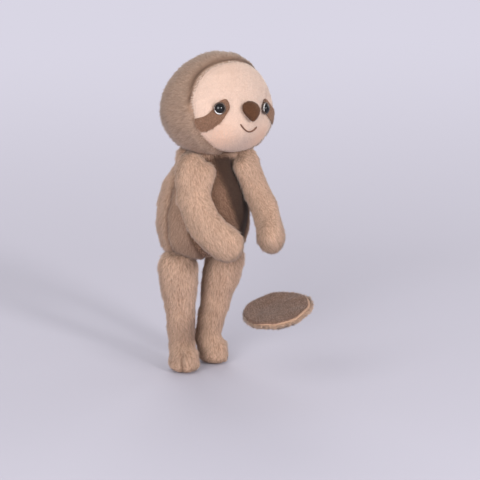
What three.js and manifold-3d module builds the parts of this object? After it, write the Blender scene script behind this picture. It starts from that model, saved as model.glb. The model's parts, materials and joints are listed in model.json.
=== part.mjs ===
// A plush sloth in millimetres, +Z up, facing -Y, standing on the flats of its two feet.
// Its left is +X. A round pad, taken off the toy, lies in the air in front of the body.
import * as THREE from "three";
import { mergeVertices } from "three/addons/utils/BufferGeometryUtils.js";
import Module from "manifold-3d";

const wasm = await Module();
wasm.setup();

// Driving dimensions of the toy
const toyHeight = 324;
const headWidth = 116;
const headDepth = 106;
const headHeight = 107;
const headTaperShare = 0.12;
const headForward = 12;
const headAside = 10;
const headTiltDegrees = 7;
const headNodDegrees = 4;
const faceWidth = 98;
const faceHeight = 89;
const faceRise = 3.8;
const torsoWidth = 97;
const torsoDepth = 86;
const torsoBottom = 105;
const neckInside = 17;
const bellyWidth = 74;
const bellyHeight = 108;

// Cloth, seams and running room
const furSkin = 3;
const hoodStep = 1.5;
const plushSkin = furSkin - hoodStep;
const velourStep = 1;
const velourSkin = furSkin - velourStep;
const patchSkin = 0.9;
const sewnGap = 0.3;
const rootGap = 0.9;
const neckGap = 0.6;
const cutOverrun = 4;
const weldReach = 1e-4;

// How finely each round form is drawn
const headSides = 22;
const headRings = 14;
const torsoSides = 18;
const limbSides = 12;
const armRings = 6;
const legRings = 4;
const footRings = 6;
const capRings = 2;
const turnedSides = 14;
const ballRings = 8;
const domeSteps = 4;
const patchPoints = 22;
const mouthSteps = 8;

const fabric = (color) => new THREE.MeshStandardMaterial({ color, roughness: 0.95, metalness: 0 });
const tanFur = fabric("#b0927e");
const creamPlush = fabric("#eed3c5");
const brownVelour = fabric("#6d5344");
const patchVelour = fabric("#8a6755");
const noseVelour = fabric("#654238");
const whiteFibre = fabric("#efece6");
const beanCloth = fabric("#cfc7ba");
const thread = fabric("#4f342a");
const blackGloss = new THREE.MeshStandardMaterial({ color: "#0c0b0c", roughness: 0.12, metalness: 0 });
const paleGloss = new THREE.MeshStandardMaterial({ color: "#c9c6c8", roughness: 0.25, metalness: 0 });
const washerWhite = new THREE.MeshStandardMaterial({ color: "#e8e8e6", roughness: 0.5, metalness: 0 });

const vec = (x, y, z) => new THREE.Vector3(x, y, z);
const radians = THREE.MathUtils.degToRad;

// Solids from geometry, and back again
function welded(geometry) {
  const plain = geometry.clone();
  plain.deleteAttribute("normal");
  plain.deleteAttribute("uv");
  return mergeVertices(plain, weldReach);
}

function solidOf(geometry) {
  const shape = welded(geometry);
  const mesh = new wasm.Mesh({
    numProp: 3,
    vertProperties: new Float32Array(shape.attributes.position.array),
    triVerts: new Uint32Array(shape.index.array),
  });
  return new wasm.Manifold(mesh);
}

function geometryOf(solid) {
  const mesh = solid.getMesh();
  const geometry = new THREE.BufferGeometry();
  geometry.setAttribute("position", new THREE.BufferAttribute(mesh.vertProperties, 3));
  geometry.setIndex(new THREE.BufferAttribute(mesh.triVerts, 1));
  geometry.computeVertexNormals();
  return geometry;
}

function addPiece(parent, name, solid, material) {
  const mesh = new THREE.Mesh(geometryOf(solid), material);
  mesh.name = name;
  parent.add(mesh);
  return mesh;
}

function joined(solids) {
  return solids.reduce((sum, solid) => sum.add(solid));
}

// The same surface moved out along its normals, or in where the distance is negative
function offset(geometry, distance) {
  const shape = welded(geometry);
  shape.computeVertexNormals();
  const { position, normal } = shape.attributes;
  for (let i = 0; i < position.count; i++) {
    position.setXYZ(
      i,
      position.getX(i) + distance * normal.getX(i),
      position.getY(i) + distance * normal.getY(i),
      position.getZ(i) + distance * normal.getZ(i),
    );
  }
  return shape;
}

// An egg shape with its poles to the front and the back
function roundForm(width, depth, height, sides, rings) {
  const geometry = new THREE.SphereGeometry(1, sides, rings);
  return geometry.scale(width / 2, depth / 2, height / 2);
}

function ballAt(centre, radius, sides = limbSides, rings = ballRings) {
  const ball = new THREE.SphereGeometry(radius, sides, rings);
  return ball.translate(centre.x, centre.y, centre.z);
}

// A closed skin over elliptical rings, each { centre, across, through }, between two tips
function loftForm(rings, firstTip, lastTip, sides) {
  const points = [firstTip];
  for (const { centre, across, through } of rings) {
    for (let i = 0; i < sides; i++) {
      const angle = (2 * Math.PI * i) / sides;
      const point = centre.clone().addScaledVector(across, Math.cos(angle));
      points.push(point.addScaledVector(through, Math.sin(angle)));
    }
  }
  points.push(lastTip);
  const last = points.length - 1;
  const faces = [];
  for (let i = 0; i < sides; i++) {
    const next = (i + 1) % sides;
    faces.push(0, 1 + next, 1 + i);
    for (let ring = 0; ring < rings.length - 1; ring++) {
      const low = 1 + ring * sides;
      const high = low + sides;
      faces.push(low + i, low + next, high + next, low + i, high + next, high + i);
    }
    faces.push(last, last - sides + i, last - sides + next);
  }
  const geometry = new THREE.BufferGeometry();
  geometry.setAttribute("position", new THREE.Float32BufferAttribute(points.flatMap((p) => p.toArray()), 3));
  geometry.setIndex(faces);
  return geometry;
}

// A number read smoothly along a list of evenly spaced values
function along(values, share) {
  const spots = values.map((value, i) => new THREE.Vector2(i / (values.length - 1), value));
  return new THREE.SplineCurve(spots).getPoint(share).y;
}

// A stuffed limb: a swelling, tapering sleeve with round ends along a smooth line
function limbForm({ path, widths, depths, thinSide, rootCap, endCap, ringCount }) {
  const line = new THREE.CatmullRomCurve3(path);
  const ringAt = (share, move, shrink) => {
    const tangent = line.getTangent(share);
    const through = thinSide.clone().addScaledVector(tangent, -thinSide.dot(tangent)).normalize();
    const across = through.clone().cross(tangent);
    const centre = line.getPoint(share).addScaledVector(tangent, move);
    across.multiplyScalar((shrink * along(widths, share)) / 2);
    through.multiplyScalar((shrink * along(depths, share)) / 2);
    return { centre, across, through };
  };
  const rings = [];
  for (let i = 1; i <= capRings; i++) {
    const angle = (Math.PI / 2) * (i / (capRings + 1));
    rings.push(ringAt(0, -rootCap * Math.cos(angle), Math.sin(angle)));
  }
  for (let i = 0; i < ringCount; i++) {
    rings.push(ringAt(i / (ringCount - 1), 0, 1));
  }
  for (let i = capRings; i >= 1; i--) {
    const angle = (Math.PI / 2) * (i / (capRings + 1));
    rings.push(ringAt(1, endCap * Math.cos(angle), Math.sin(angle)));
  }
  const firstTip = line.getPoint(0).addScaledVector(line.getTangent(0), -rootCap);
  const lastTip = line.getPoint(1).addScaledVector(line.getTangent(1), endCap);
  return loftForm(rings, firstTip, lastTip, limbSides);
}

// A cylinder between two points
function rod(from, to, radius, sides = turnedSides) {
  const span = to.clone().sub(from);
  const geometry = new THREE.CylinderGeometry(radius, radius, span.length(), sides);
  geometry.applyQuaternion(new THREE.Quaternion().setFromUnitVectors(vec(0, 1, 0), span.normalize()));
  const middle = from.clone().add(to).divideScalar(2);
  return geometry.translate(middle.x, middle.y, middle.z);
}

// An upright oval plate that reaches forward from the plane y = 0
function ovalForward(width, height, reach, sides) {
  const geometry = new THREE.CylinderGeometry(0.5, 0.5, 1, sides);
  return geometry.translate(0, -0.5, 0).scale(width, reach, height);
}

const sloth = new THREE.Group();

// Torso: a pear that leans a little forward and to its left towards the neck
const headCentre = vec(headAside, -headForward, toyHeight - headHeight / 2);
const torsoTop = headCentre.z - headHeight / 2 + neckInside;
const torsoTall = torsoTop - torsoBottom;
const neckForwardShare = 0.6;
const neckAsideShare = 0.5;
const leanStartShare = 0.4;
const torsoHeightShares = [0.02, 0.09, 0.185, 0.3, 0.42, 0.56, 0.66, 0.74, 0.83, 0.91, 0.98];
const torsoWidthShares = [0.36, 0.72, 0.91, 0.99, 1, 0.95, 0.87, 0.77, 0.64, 0.52, 0.4];

function torsoAxis(share) {
  const lean = Math.max(0, (share - leanStartShare) / (1 - leanStartShare)) ** 2;
  const side = headAside * neckAsideShare * lean;
  return vec(side, -headForward * neckForwardShare * lean, torsoBottom + torsoTall * share);
}

function torsoForm() {
  const rings = torsoHeightShares.map((share, i) => ({
    centre: torsoAxis(share),
    across: vec((torsoWidth / 2) * torsoWidthShares[i], 0, 0),
    through: vec(0, (torsoDepth / 2) * torsoWidthShares[i], 0),
  }));
  return loftForm(rings, torsoAxis(0), torsoAxis(1), torsoSides);
}

// Legs: straight, each with a ball root under the torso and a foot that points forward
const legSpread = 58;
const ankleSpread = 34;
const footSpread = 41;
const legAside = -2;
const footAside = -10;
const legTopWidth = 38;
const ankleWidth = 28;
const hipHeight = 107;
const hipForward = 0;
const ankleHeight = 22;
const ankleForward = -6;
const footLength = 38;
const footWidth = 29;
const footHeight = 27;
const footForward = 2;
const nearFootLead = 7;
const soleFlat = 0.5;
const soleBoxPower = 7;
const legForwardLimitDegrees = 70;
const legBackLimitDegrees = 15;
const legSwingDegrees = legForwardLimitDegrees + legBackLimitDegrees;
const grooveSteps = 4;
const footLead = (side) => (side < 0 ? nearFootLead : 0);
const hipPivot = (side) => vec((side * legSpread) / 2 + legAside, -hipForward, hipHeight);

// A foot is a loaf: round from above, boxier from the side, so that its sole is broad
function footForm(centre) {
  const loaf = new THREE.SphereGeometry(1, limbSides, footRings).rotateX(Math.PI / 2);
  const spots = loaf.attributes.position;
  for (let i = 0; i < spots.count; i++) {
    const rise = spots.getZ(i);
    const flat = Math.hypot(spots.getX(i), spots.getY(i));
    const size = (Math.abs(rise) ** soleBoxPower + flat ** soleBoxPower) ** (-1 / soleBoxPower);
    spots.setXYZ(i, spots.getX(i) * size, spots.getY(i) * size, rise * size);
  }
  loaf.scale(footWidth / 2, footLength / 2, footHeight / 2 + soleFlat / 2);
  return loaf.translate(centre.x, centre.y, centre.z);
}

function anklePlace(side) {
  return vec((side * ankleSpread) / 2 + footAside, -(ankleForward + footLead(side)), ankleHeight);
}

function legForms(side) {
  const hip = hipPivot(side);
  const ankle = anklePlace(side);
  const knee = hip.clone().add(ankle).divideScalar(2);
  const sleeve = limbForm({
    path: [hip, knee, ankle],
    widths: [legTopWidth, (legTopWidth + ankleWidth) / 2, ankleWidth],
    depths: [legTopWidth, (legTopWidth + ankleWidth) / 2, ankleWidth],
    thinSide: vec(0, -1, 0),
    rootCap: legTopWidth / 2,
    endCap: ankleHeight / 2,
    ringCount: legRings,
  });
  const footY = -(footForward + footLead(side));
  const footAt = vec((side * footSpread) / 2 + footAside, footY, (footHeight - soleFlat) / 2);
  return [sleeve, footForm(footAt)];
}

// What a leg sweeps through in the torso as it swings back and forward
function legSweep(side, room) {
  const hip = hipPivot(side);
  const radius = legTopWidth / 2 + room;
  const sweep = [solidOf(ballAt(hip, radius))];
  for (let i = 0; i <= grooveSteps; i++) {
    const turn = radians(-legBackLimitDegrees + (legSwingDegrees * i) / grooveSteps);
    const end = anklePlace(side).sub(hip).applyAxisAngle(vec(-1, 0, 0), turn).add(hip);
    sweep.push(solidOf(rod(hip, end, radius, limbSides)));
  }
  return joined(sweep);
}

// Arms: flattened sleeves that hug the torso, curve forward and end in round mitts
const shoulderSpread = 60;
const shoulderForward = 19;
const shoulderHeight = 208;
const armRootRadius = 14.5;
const armWidth = 40;
const armThickness = 26;
const mittWidth = 39;
const mittThickness = 30;
const mittCap = 17;
const armReach = 57;
const armDrop = 63;
const armTurnDegrees = 42;
const armAside = 3;
const armForwardLimitDegrees = 40;
const armCutSteps = 2;
const armSpreadShares = [0.97, 1.1, 1.23, 1.27, 1.08, 0.87];
const armReachShares = [0.12, 0.18, 0.26, 0.54, 0.82, 1];
const armDropShares = [0, 0.175, 0.354, 0.659, 0.883, 1];
const shoulderPivot = (side) => vec((side * shoulderSpread) / 2 + armAside, -shoulderForward, shoulderHeight);

function armForm(side) {
  const shoulder = shoulderPivot(side);
  const path = armSpreadShares.map((spread, i) => {
    const x = (side * spread * shoulderSpread) / 2 + armAside;
    return vec(x, shoulder.y - armReach * armReachShares[i], shoulder.z - armDrop * armDropShares[i]);
  });
  const turn = radians(armTurnDegrees);
  return limbForm({
    path,
    widths: [armWidth, armWidth, armWidth, armWidth, mittWidth],
    depths: [armThickness, armThickness, armThickness, armThickness, mittThickness],
    thinSide: vec(side * Math.sin(turn), -Math.cos(turn), 0),
    rootCap: armRootRadius,
    endCap: mittCap,
    ringCount: armRings,
  });
}

// The torso as an arm meets it at rest and as it swings forward
function torsoFromArm(side, room) {
  const pivot = shoulderPivot(side);
  const cuts = [];
  for (let i = 0; i <= armCutSteps; i++) {
    const turn = radians((armForwardLimitDegrees * i) / armCutSteps);
    const shape = offset(torso, room).translate(-pivot.x, -pivot.y, -pivot.z).rotateX(turn);
    cuts.push(solidOf(shape.translate(pivot.x, pivot.y, pivot.z)));
  }
  return joined(cuts);
}

// Torso pieces
const torso = torsoForm();
const bellyMiddleShare = 0.5;
const beanBagTop = 142;
const neckOpening = 37;
const neckStumpWidth = 49;
const neckStumpShare = 0.9;

function torsoHollows(room) {
  const sockets = [-1, 1].flatMap((side) => [
    solidOf(ballAt(shoulderPivot(side), armRootRadius + room)),
    legSweep(side, room),
  ]);
  return joined(sockets);
}

function addTorso(parent) {
  const cutter = (grow) => {
    const oval = ovalForward(bellyWidth + 2 * grow, bellyHeight + 2 * grow, torsoDepth, torsoSides);
    const middle = torsoAxis(bellyMiddleShare);
    return solidOf(oval.translate(middle.x, 0, middle.z));
  };
  const hollows = torsoHollows(rootGap);
  const top = torsoAxis(1);
  const underTop = top.clone().add(vec(0, 0, -furSkin - cutOverrun));
  const overTop = top.clone().add(vec(0, 0, cutOverrun));
  const topHole = rod(underTop, overTop, neckOpening / 2, limbSides);
  const shell = solidOf(torso).subtract(solidOf(offset(torso, -furSkin)));
  const fur = shell.subtract(cutter(0)).subtract(hollows).subtract(solidOf(topHole));
  const belly = solidOf(offset(torso, -velourStep)).subtract(solidOf(offset(torso, -furSkin)));
  const above = (height) => {
    const slab = new THREE.BoxGeometry(2 * torsoWidth, 2 * torsoDepth, torsoTall);
    return solidOf(slab.translate(0, 0, height + torsoTall / 2));
  };
  const filling = solidOf(offset(torso, -furSkin - sewnGap)).subtract(torsoHollows(rootGap + sewnGap));
  const core = filling.intersect(above(beanBagTop + sewnGap));
  const beans = filling.subtract(above(beanBagTop));
  addPiece(parent, "torso_fur", fur, tanFur);
  addPiece(parent, "belly_panel", belly.intersect(cutter(-sewnGap)).subtract(hollows), brownVelour);
  addPiece(parent, "torso_stuffing", core, whiteFibre);
  addPiece(parent, "pellet_bag", beans, beanCloth);
}

// Limb pieces
const limbMouthShare = 0.45;

function addArm(parent, side, name) {
  const form = armForm(side);
  const root = ballAt(shoulderPivot(side), armRootRadius);
  const grown = (skin) => {
    const sleeve = solidOf(offset(form, -skin)).subtract(torsoFromArm(side, sewnGap + skin));
    return sleeve.add(solidOf(offset(root, -skin)));
  };
  const inward = shoulderPivot(side).add(vec(-side * 2 * armRootRadius, 0, 0));
  const mouth = solidOf(rod(shoulderPivot(side), inward, armRootRadius * limbMouthShare));
  addPiece(parent, `arm_fur_${name}`, grown(0).subtract(grown(furSkin)).subtract(mouth), tanFur);
  addPiece(parent, `arm_stuffing_${name}`, grown(furSkin + sewnGap), whiteFibre);
}

function addLeg(parent, side, name) {
  const forms = legForms(side);
  const sized = (skin) => joined(forms.map((form) => solidOf(offset(form, -skin))));
  const floor = (skin) => {
    const slab = new THREE.BoxGeometry(torsoWidth, torsoDepth + footLength, footHeight);
    return solidOf(slab.translate(0, 0, skin - footHeight / 2));
  };
  const hip = hipPivot(side);
  const up = hip.clone().add(vec(0, 0, legTopWidth));
  const mouth = solidOf(rod(hip, up, (legTopWidth / 2) * limbMouthShare));
  const outer = sized(0).subtract(floor(0));
  const inner = sized(furSkin).subtract(floor(furSkin));
  addPiece(parent, `leg_fur_${name}`, outer.subtract(inner).subtract(mouth), tanFur);
  const core = sized(furSkin + sewnGap).subtract(floor(furSkin + sewnGap));
  addPiece(parent, `leg_stuffing_${name}`, core, whiteFibre);
}

// Head, in its own frame: the centre of the head is the origin and the face looks along -Y
const head = new THREE.Group();
head.position.copy(headCentre);
head.rotation.set(radians(headNodDegrees), radians(headTiltDegrees), 0);
sloth.add(head);

// How wide the head is at a height, next to its middle: full at the cheeks, narrower at the crown
const headSwell = (z) => 1 - (headTaperShare * z) / (headHeight / 2);

function taperedHead() {
  const form = roundForm(headWidth, headDepth, headHeight, headSides, headRings);
  const spots = form.attributes.position;
  for (let i = 0; i < spots.count; i++) {
    const swell = headSwell(spots.getZ(i));
    spots.setXY(i, spots.getX(i) * swell, spots.getY(i) * swell);
  }
  return form;
}

const headForm = taperedHead();

// The face swells into a muzzle and is drawn in round each eye
const eyeSpread = 52.8;
const eyeRise = 5.3;
const eyeSink = 5.9;
const eyeDentReach = 12;
const muzzleSwell = 4.5;
const muzzleWidth = 44;
const muzzleHeight = 34;
const muzzleRise = -11.4;

function faceSwell(x, z) {
  const muzzle = (2 * x / muzzleWidth) ** 2 + (2 * (z - muzzleRise) / muzzleHeight) ** 2;
  const eye = ((Math.abs(x) - eyeSpread / 2) ** 2 + (z - eyeRise) ** 2) / eyeDentReach ** 2;
  return muzzleSwell * Math.exp(-muzzle) - eyeSink * Math.exp(-eye);
}

function shapedFace() {
  const form = offset(headForm, -hoodStep);
  const spots = form.attributes.position;
  for (let i = 0; i < spots.count; i++) {
    if (spots.getY(i) < 0) {
      spots.setY(i, spots.getY(i) - faceSwell(spots.getX(i), spots.getZ(i)));
    }
  }
  return form;
}

const faceForm = shapedFace();

function seenFromHead(solid) {
  head.updateMatrixWorld(true);
  return solid.transform(head.matrixWorld.clone().invert().elements);
}

// The neck stump that the head sits on
function neckRoom(room) {
  const top = torsoAxis(1).add(vec(0, 0, room));
  const stump = rod(torsoAxis(neckStumpShare), top, neckStumpWidth / 2 + room, torsoSides);
  return seenFromHead(joined([solidOf(offset(torso, room)), solidOf(stump)]));
}

// The head is flat underneath, just above the highest that the shoulders swing
const shoulderTop = 227;
const shoulderGap = 1;

function shoulderRoom(room) {
  const reach = headWidth + headDepth;
  const slab = new THREE.BoxGeometry(reach, reach, toyHeight);
  const top = shoulderTop + shoulderGap + room;
  return seenFromHead(solidOf(slab.translate(headCentre.x, headCentre.y, top - toyHeight / 2)));
}

// Where a line along Y at (x, z) meets the face, and the way the face points there
function onFace(x, z) {
  const swell = headSwell(z);
  const half = vec((headWidth * swell) / 2 - hoodStep, (headDepth * swell) / 2 - hoodStep, headHeight / 2 - hoodStep);
  const y = -half.y * Math.sqrt(1 - (x / half.x) ** 2 - (z / half.z) ** 2);
  const point = vec(x, y - faceSwell(x, z), z);
  const tip = (headTaperShare / (swell * half.z)) * (1 - (z / half.z) ** 2);
  const normal = vec(x / half.x ** 2, y / half.y ** 2, z / half.z ** 2 + tip).normalize();
  return { point, normal };
}

// Safety eyes: a pale collar with a stem through the face, a black dome and a lock washer
const eyeWidth = 12.4;
const pupilWidth = 9.6;
const pupilDome = 3.4;
const collarThick = 1.6;
const collarLift = 1.2;
const collarSeat = patchSkin + 2 * sewnGap + collarLift;
const stemWidth = 4;
const stemLength = 14;
const pegWidth = 2.4;
const pegLength = 3;
const washerWidth = 13;
const washerThick = 1.4;
const washerSeat = 1.5;
const washerDepth = plushSkin + washerSeat;

function turned(outline) {
  const profile = outline.map(([radius, height]) => new THREE.Vector2(radius, height));
  return new THREE.LatheGeometry(profile, turnedSides).rotateX(Math.PI / 2);
}

const pupilCurve = Array.from({ length: domeSteps }, (_, i) => {
  const angle = (Math.PI / 2) * ((i + 1) / (domeSteps + 1));
  return [(pupilWidth / 2) * Math.cos(angle), collarThick + pupilDome * Math.sin(angle)];
});

// Outlines of the turned eye pieces: radius, then height above the seat on the patch
const pupilOutline = [
  [0, collarThick + sewnGap - pegLength],
  [pegWidth / 2, collarThick + sewnGap - pegLength],
  [pegWidth / 2, collarThick - pupilDome / 4 + sewnGap],
  [pupilWidth / 2, collarThick - pupilDome / 4 + sewnGap],
  ...pupilCurve,
  [0, collarThick + pupilDome],
];

const collarOutline = [
  [0, -stemLength],
  [stemWidth / 2, -stemLength],
  [stemWidth / 2, 0],
  [eyeWidth / 2 - collarThick / 4, 0],
  [eyeWidth / 2, collarThick / 2],
  [eyeWidth / 2 - collarThick / 4, collarThick],
  [pupilWidth / 2 + sewnGap, collarThick + sewnGap],
  [pupilWidth / 2 + sewnGap, collarThick - pupilDome / 4],
  [pegWidth / 2 + sewnGap, collarThick - pupilDome / 4],
  [pegWidth / 2 + sewnGap, collarThick - pegLength],
  [0, collarThick - pegLength],
];

const washerOutline = [
  [stemWidth / 2 + sewnGap, 0],
  [washerWidth / 2, 0],
  [washerWidth / 2, washerThick],
  [stemWidth / 2 + sewnGap, washerThick],
  [stemWidth / 2 + sewnGap, 0],
];

function eyePlace(side) {
  const { point, normal } = onFace((side * eyeSpread) / 2, eyeRise);
  const place = new THREE.Group();
  place.position.copy(point).addScaledVector(normal, collarSeat);
  place.quaternion.setFromUnitVectors(vec(0, 0, 1), normal);
  return { place, point, normal };
}

function addEye(parent, side, name) {
  const { place, point, normal } = eyePlace(side);
  parent.add(place);
  const washer = solidOf(turned(washerOutline).translate(0, 0, -collarSeat - washerDepth - washerThick - sewnGap));
  addPiece(place, `eye_ring_${name}`, solidOf(turned(collarOutline)), paleGloss);
  addPiece(place, `eye_pupil_${name}`, solidOf(turned(pupilOutline)), blackGloss);
  addPiece(place, `eye_washer_${name}`, washer, washerWhite);
  const tip = point.clone().addScaledVector(normal, collarSeat - stemLength - sewnGap);
  const stemRoom = solidOf(rod(point.clone().addScaledVector(normal, cutOverrun), tip, stemWidth / 2 + sewnGap));
  const back = point.clone().addScaledVector(normal, -washerDepth - washerThick - 3 * sewnGap);
  const washerRoom = solidOf(rod(point, back, washerWidth / 2 + sewnGap));
  return { stemRoom, washerRoom };
}

// Brown patches round the eyes, slanted down and out: x, then z, on the toy's left
const patchWidth = 28.2;
const patchHeight = 33;
const patchAside = 18.2;
const patchTop = 14.9;
const patchShares = [
  [0.12, 0], [0.035, 0.07], [0, 0.22], [0.07, 0.37], [0.26, 0.62], [0.4, 0.735], [0.585, 0.9], [0.72, 1],
  [0.88, 0.935], [1, 0.715], [0.97, 0.655], [0.8, 0.565], [0.67, 0.475], [0.5, 0.33], [0.3, 0.095], [0.2, 0.025],
];

function patchSolid(side) {
  const spots = patchShares.map(([x, z]) => {
    return new THREE.Vector2(side * (patchAside + patchWidth * x), patchTop - patchHeight * z);
  });
  const edge = new THREE.SplineCurve([...spots, spots[0]]).getPoints(patchPoints);
  const outline = new THREE.Shape(edge.slice(0, -1));
  const slab = new THREE.ExtrudeGeometry(outline, { depth: headDepth, bevelEnabled: false });
  const layer = solidOf(offset(faceForm, sewnGap + patchSkin)).subtract(solidOf(offset(faceForm, sewnGap)));
  return layer.intersect(solidOf(slab.rotateX(Math.PI / 2)));
}

// Nose: a small stuffed triangle with round corners and its point down
const noseWidth = 22;
const noseHeight = 20;
const noseDepth = 14;
const noseRise = 7.2;
const noseTaperShare = 0.42;

function noseSolid() {
  const form = new THREE.SphereGeometry(1, turnedSides, ballRings);
  const spots = form.attributes.position;
  for (let i = 0; i < spots.count; i++) {
    const rise = spots.getZ(i);
    spots.setX(i, spots.getX(i) * (1 - noseTaperShare * (1 - rise) ** 2 / 2 + noseTaperShare / 4));
  }
  form.scale(noseWidth / 2, noseDepth / 2, noseHeight / 2);
  const { point } = onFace(0, noseRise);
  form.translate(point.x, point.y, point.z);
  return solidOf(form).subtract(solidOf(offset(faceForm, sewnGap)));
}

// Mouth: a thread sewn along a smile
const mouthWidth = 20.6;
const mouthRise = -7;
const mouthSlantShare = 0.1;
const mouthDepth = 6.6;
const threadWidth = 1.3;
const threadLift = 0.35;

function mouthSolid() {
  const spots = Array.from({ length: mouthSteps + 1 }, (_, i) => {
    const share = (2 * i) / mouthSteps - 1;
    const x = (share * mouthWidth) / 2;
    const { point, normal } = onFace(x, mouthRise - mouthSlantShare * x - mouthDepth * (1 - share ** 2));
    return point.addScaledVector(normal, threadWidth / 2 + threadLift);
  });
  const section = new THREE.Shape();
  section.absarc(0, 0, threadWidth / 2, 0, 2 * Math.PI);
  const path = new THREE.CatmullRomCurve3(spots);
  return solidOf(new THREE.ExtrudeGeometry(section, { extrudePath: path, steps: 10, curveSegments: 3 }));
}

function addHead() {
  const faceCut = (grow) => {
    const oval = ovalForward(faceWidth + 2 * grow, faceHeight + 2 * grow, headDepth, headSides);
    return solidOf(oval.translate(0, 0, faceRise));
  };
  const inside = solidOf(offset(faceForm, -plushSkin)).subtract(shoulderRoom(furSkin));
  const neck = neckRoom(neckGap).add(shoulderRoom(0));
  const hood = solidOf(headForm).subtract(inside).subtract(faceCut(0)).subtract(neck);
  let face = solidOf(faceForm).subtract(inside).intersect(faceCut(-sewnGap)).subtract(neck);
  let fibre = solidOf(offset(faceForm, -plushSkin - sewnGap)).subtract(neckRoom(neckGap + sewnGap));
  fibre = fibre.subtract(shoulderRoom(furSkin + sewnGap));
  for (const [side, name] of [[-1, "right"], [1, "left"]]) {
    const { stemRoom, washerRoom } = addEye(head, side, name);
    face = face.subtract(stemRoom);
    fibre = fibre.subtract(stemRoom).subtract(washerRoom);
    addPiece(head, `eye_patch_${name}`, patchSolid(side).intersect(faceCut(-sewnGap)).subtract(stemRoom), patchVelour);
  }
  addPiece(head, "head_hood", hood, tanFur);
  addPiece(head, "face_panel", face, creamPlush);
  addPiece(head, "head_stuffing", fibre, whiteFibre);
  addPiece(head, "nose", noseSolid(), noseVelour);
  addPiece(head, "mouth_stitch", mouthSolid(), thread);
}

// The loose pad: a shallow dish with a fur back, a velour lining on its hollow side and a filling
const padWidth = 67;
const padThick = 10;
const padDish = 4;
const padAside = -15.5;
const padForward = 151;
const padRise = 93;
const padLeanAsideDegrees = 14.7;
const padLeanForwardDegrees = 1.8;
const padShares = [0, 0.4, 0.65, 0.83, 0.94, 1];

// Heights of the pad's two faces at a share of its radius; the rim is where they meet
function padMiddle(share) {
  return padDish * share ** 2;
}

function padHalfThick(share) {
  return (padThick / 2) * Math.sqrt(Math.max(0, 1 - share ** 4));
}

// One outline of the pad from a low surface to a high one, out to a given radius
function padOutline(reach, low, high) {
  const radius = padWidth / 2;
  const shares = [...padShares.filter((share) => share * radius < reach), reach / radius];
  const bottom = shares.map((share) => [share * radius, low(share)]);
  const top = shares.map((share) => [share * radius, high(share)]).reverse();
  return [...bottom, ...top];
}

function addPad(parent) {
  const place = new THREE.Group();
  place.position.set(padAside, -padForward, padRise);
  place.rotation.set(radians(padLeanForwardDegrees), -radians(padLeanAsideDegrees), 0);
  parent.add(place);
  const low = (rise) => (share) => padMiddle(share) - padHalfThick(share) + rise;
  const high = (rise) => (share) => padMiddle(share) + padHalfThick(share) + rise;
  const inner = padWidth / 2 - velourSkin;
  const whole = solidOf(turned(padOutline(padWidth / 2, low(0), high(0))));
  const hollow = solidOf(turned(padOutline(inner, low(velourSkin), high(padThick))));
  const lining = solidOf(turned(padOutline(inner - sewnGap, high(-velourSkin), high(0))));
  const filling = solidOf(turned(padOutline(inner - sewnGap, low(velourSkin + sewnGap), high(-velourSkin - sewnGap))));
  addPiece(place, "pad_fur_back", whole.subtract(hollow), tanFur);
  addPiece(place, "pad_velour_face", lining, brownVelour);
  addPiece(place, "pad_filling", filling, whiteFibre);
}

addTorso(sloth);
for (const [side, name] of [[-1, "right"], [1, "left"]]) {
  addArm(sloth, side, name);
  addLeg(sloth, side, name);
}
addHead();
addPad(sloth);

// The origin is the middle of the base of the toy and its pad
const bounds = new THREE.Box3().setFromObject(sloth, true);
const middle = bounds.getCenter(vec(0, 0, 0));
sloth.position.set(-middle.x, -middle.y, -bounds.min.z);

export default sloth;
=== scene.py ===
# %% [markdown]
# # A plush sloth
# A soft toy is a bag of fur cloth pulled tight over stuffing. This lesson builds one from the outside
# in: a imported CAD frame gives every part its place, each cloth bag is blown up like the real one, and
# real strands of pile are then sown over it. Lengths are metres, +Z is up, and the toy faces -Y.

# %% Load the frame
import json
import math
import random
from contextlib import contextmanager

import bmesh
import bpy
import numpy as np
from mathutils import Matrix, Vector, noise
from mathutils.geometry import interpolate_bezier


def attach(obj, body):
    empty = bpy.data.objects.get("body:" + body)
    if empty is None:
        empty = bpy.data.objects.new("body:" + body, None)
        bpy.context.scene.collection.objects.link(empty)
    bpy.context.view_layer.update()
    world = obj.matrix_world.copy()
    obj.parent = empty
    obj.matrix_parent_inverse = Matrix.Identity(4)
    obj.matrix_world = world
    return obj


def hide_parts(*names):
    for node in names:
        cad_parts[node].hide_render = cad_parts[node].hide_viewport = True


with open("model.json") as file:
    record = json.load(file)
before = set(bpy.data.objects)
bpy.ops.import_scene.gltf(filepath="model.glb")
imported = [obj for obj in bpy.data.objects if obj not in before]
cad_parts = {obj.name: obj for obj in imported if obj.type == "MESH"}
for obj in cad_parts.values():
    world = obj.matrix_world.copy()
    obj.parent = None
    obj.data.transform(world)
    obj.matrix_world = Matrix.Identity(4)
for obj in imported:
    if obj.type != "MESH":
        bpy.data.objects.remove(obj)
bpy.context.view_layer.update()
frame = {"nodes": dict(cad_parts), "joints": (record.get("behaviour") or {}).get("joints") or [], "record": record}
nodes = frame["nodes"]
scene = bpy.context.scene
MM = 0.001


# %% [markdown]
# The toy was drawn round an upright line through its middle. The frame is centred on the box round
# the toy and its pad instead, so the line is found again from a joint whose place is known on both.

# %% The toy's own upright line
def place_of(items, name):
    """Where one of the frame's joints or mounts is"""
    return Vector(next(item for item in items if item["name"] == name)["pos_m"])


NECK_ON_TOY = Vector((4.2, -6.05, 230)) * MM
TOY = place_of(frame["joints"], "neck_turn") - NECK_ON_TOY


def at(x, y, z):
    """A place in millimetres from the foot of the toy's upright line"""
    return TOY + Vector((x, y, z)) * MM


print("the toy's line stands at", [round(v, 5) for v in TOY])

# %% [markdown]
# ## Camera
# The photograph looks at the toy from its right front, a little from above, and from far away: the
# verticals stay parallel. A long lens does the same. The frame is 480 pixels wide, and at the toy one
# pixel is one millimetre.

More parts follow.
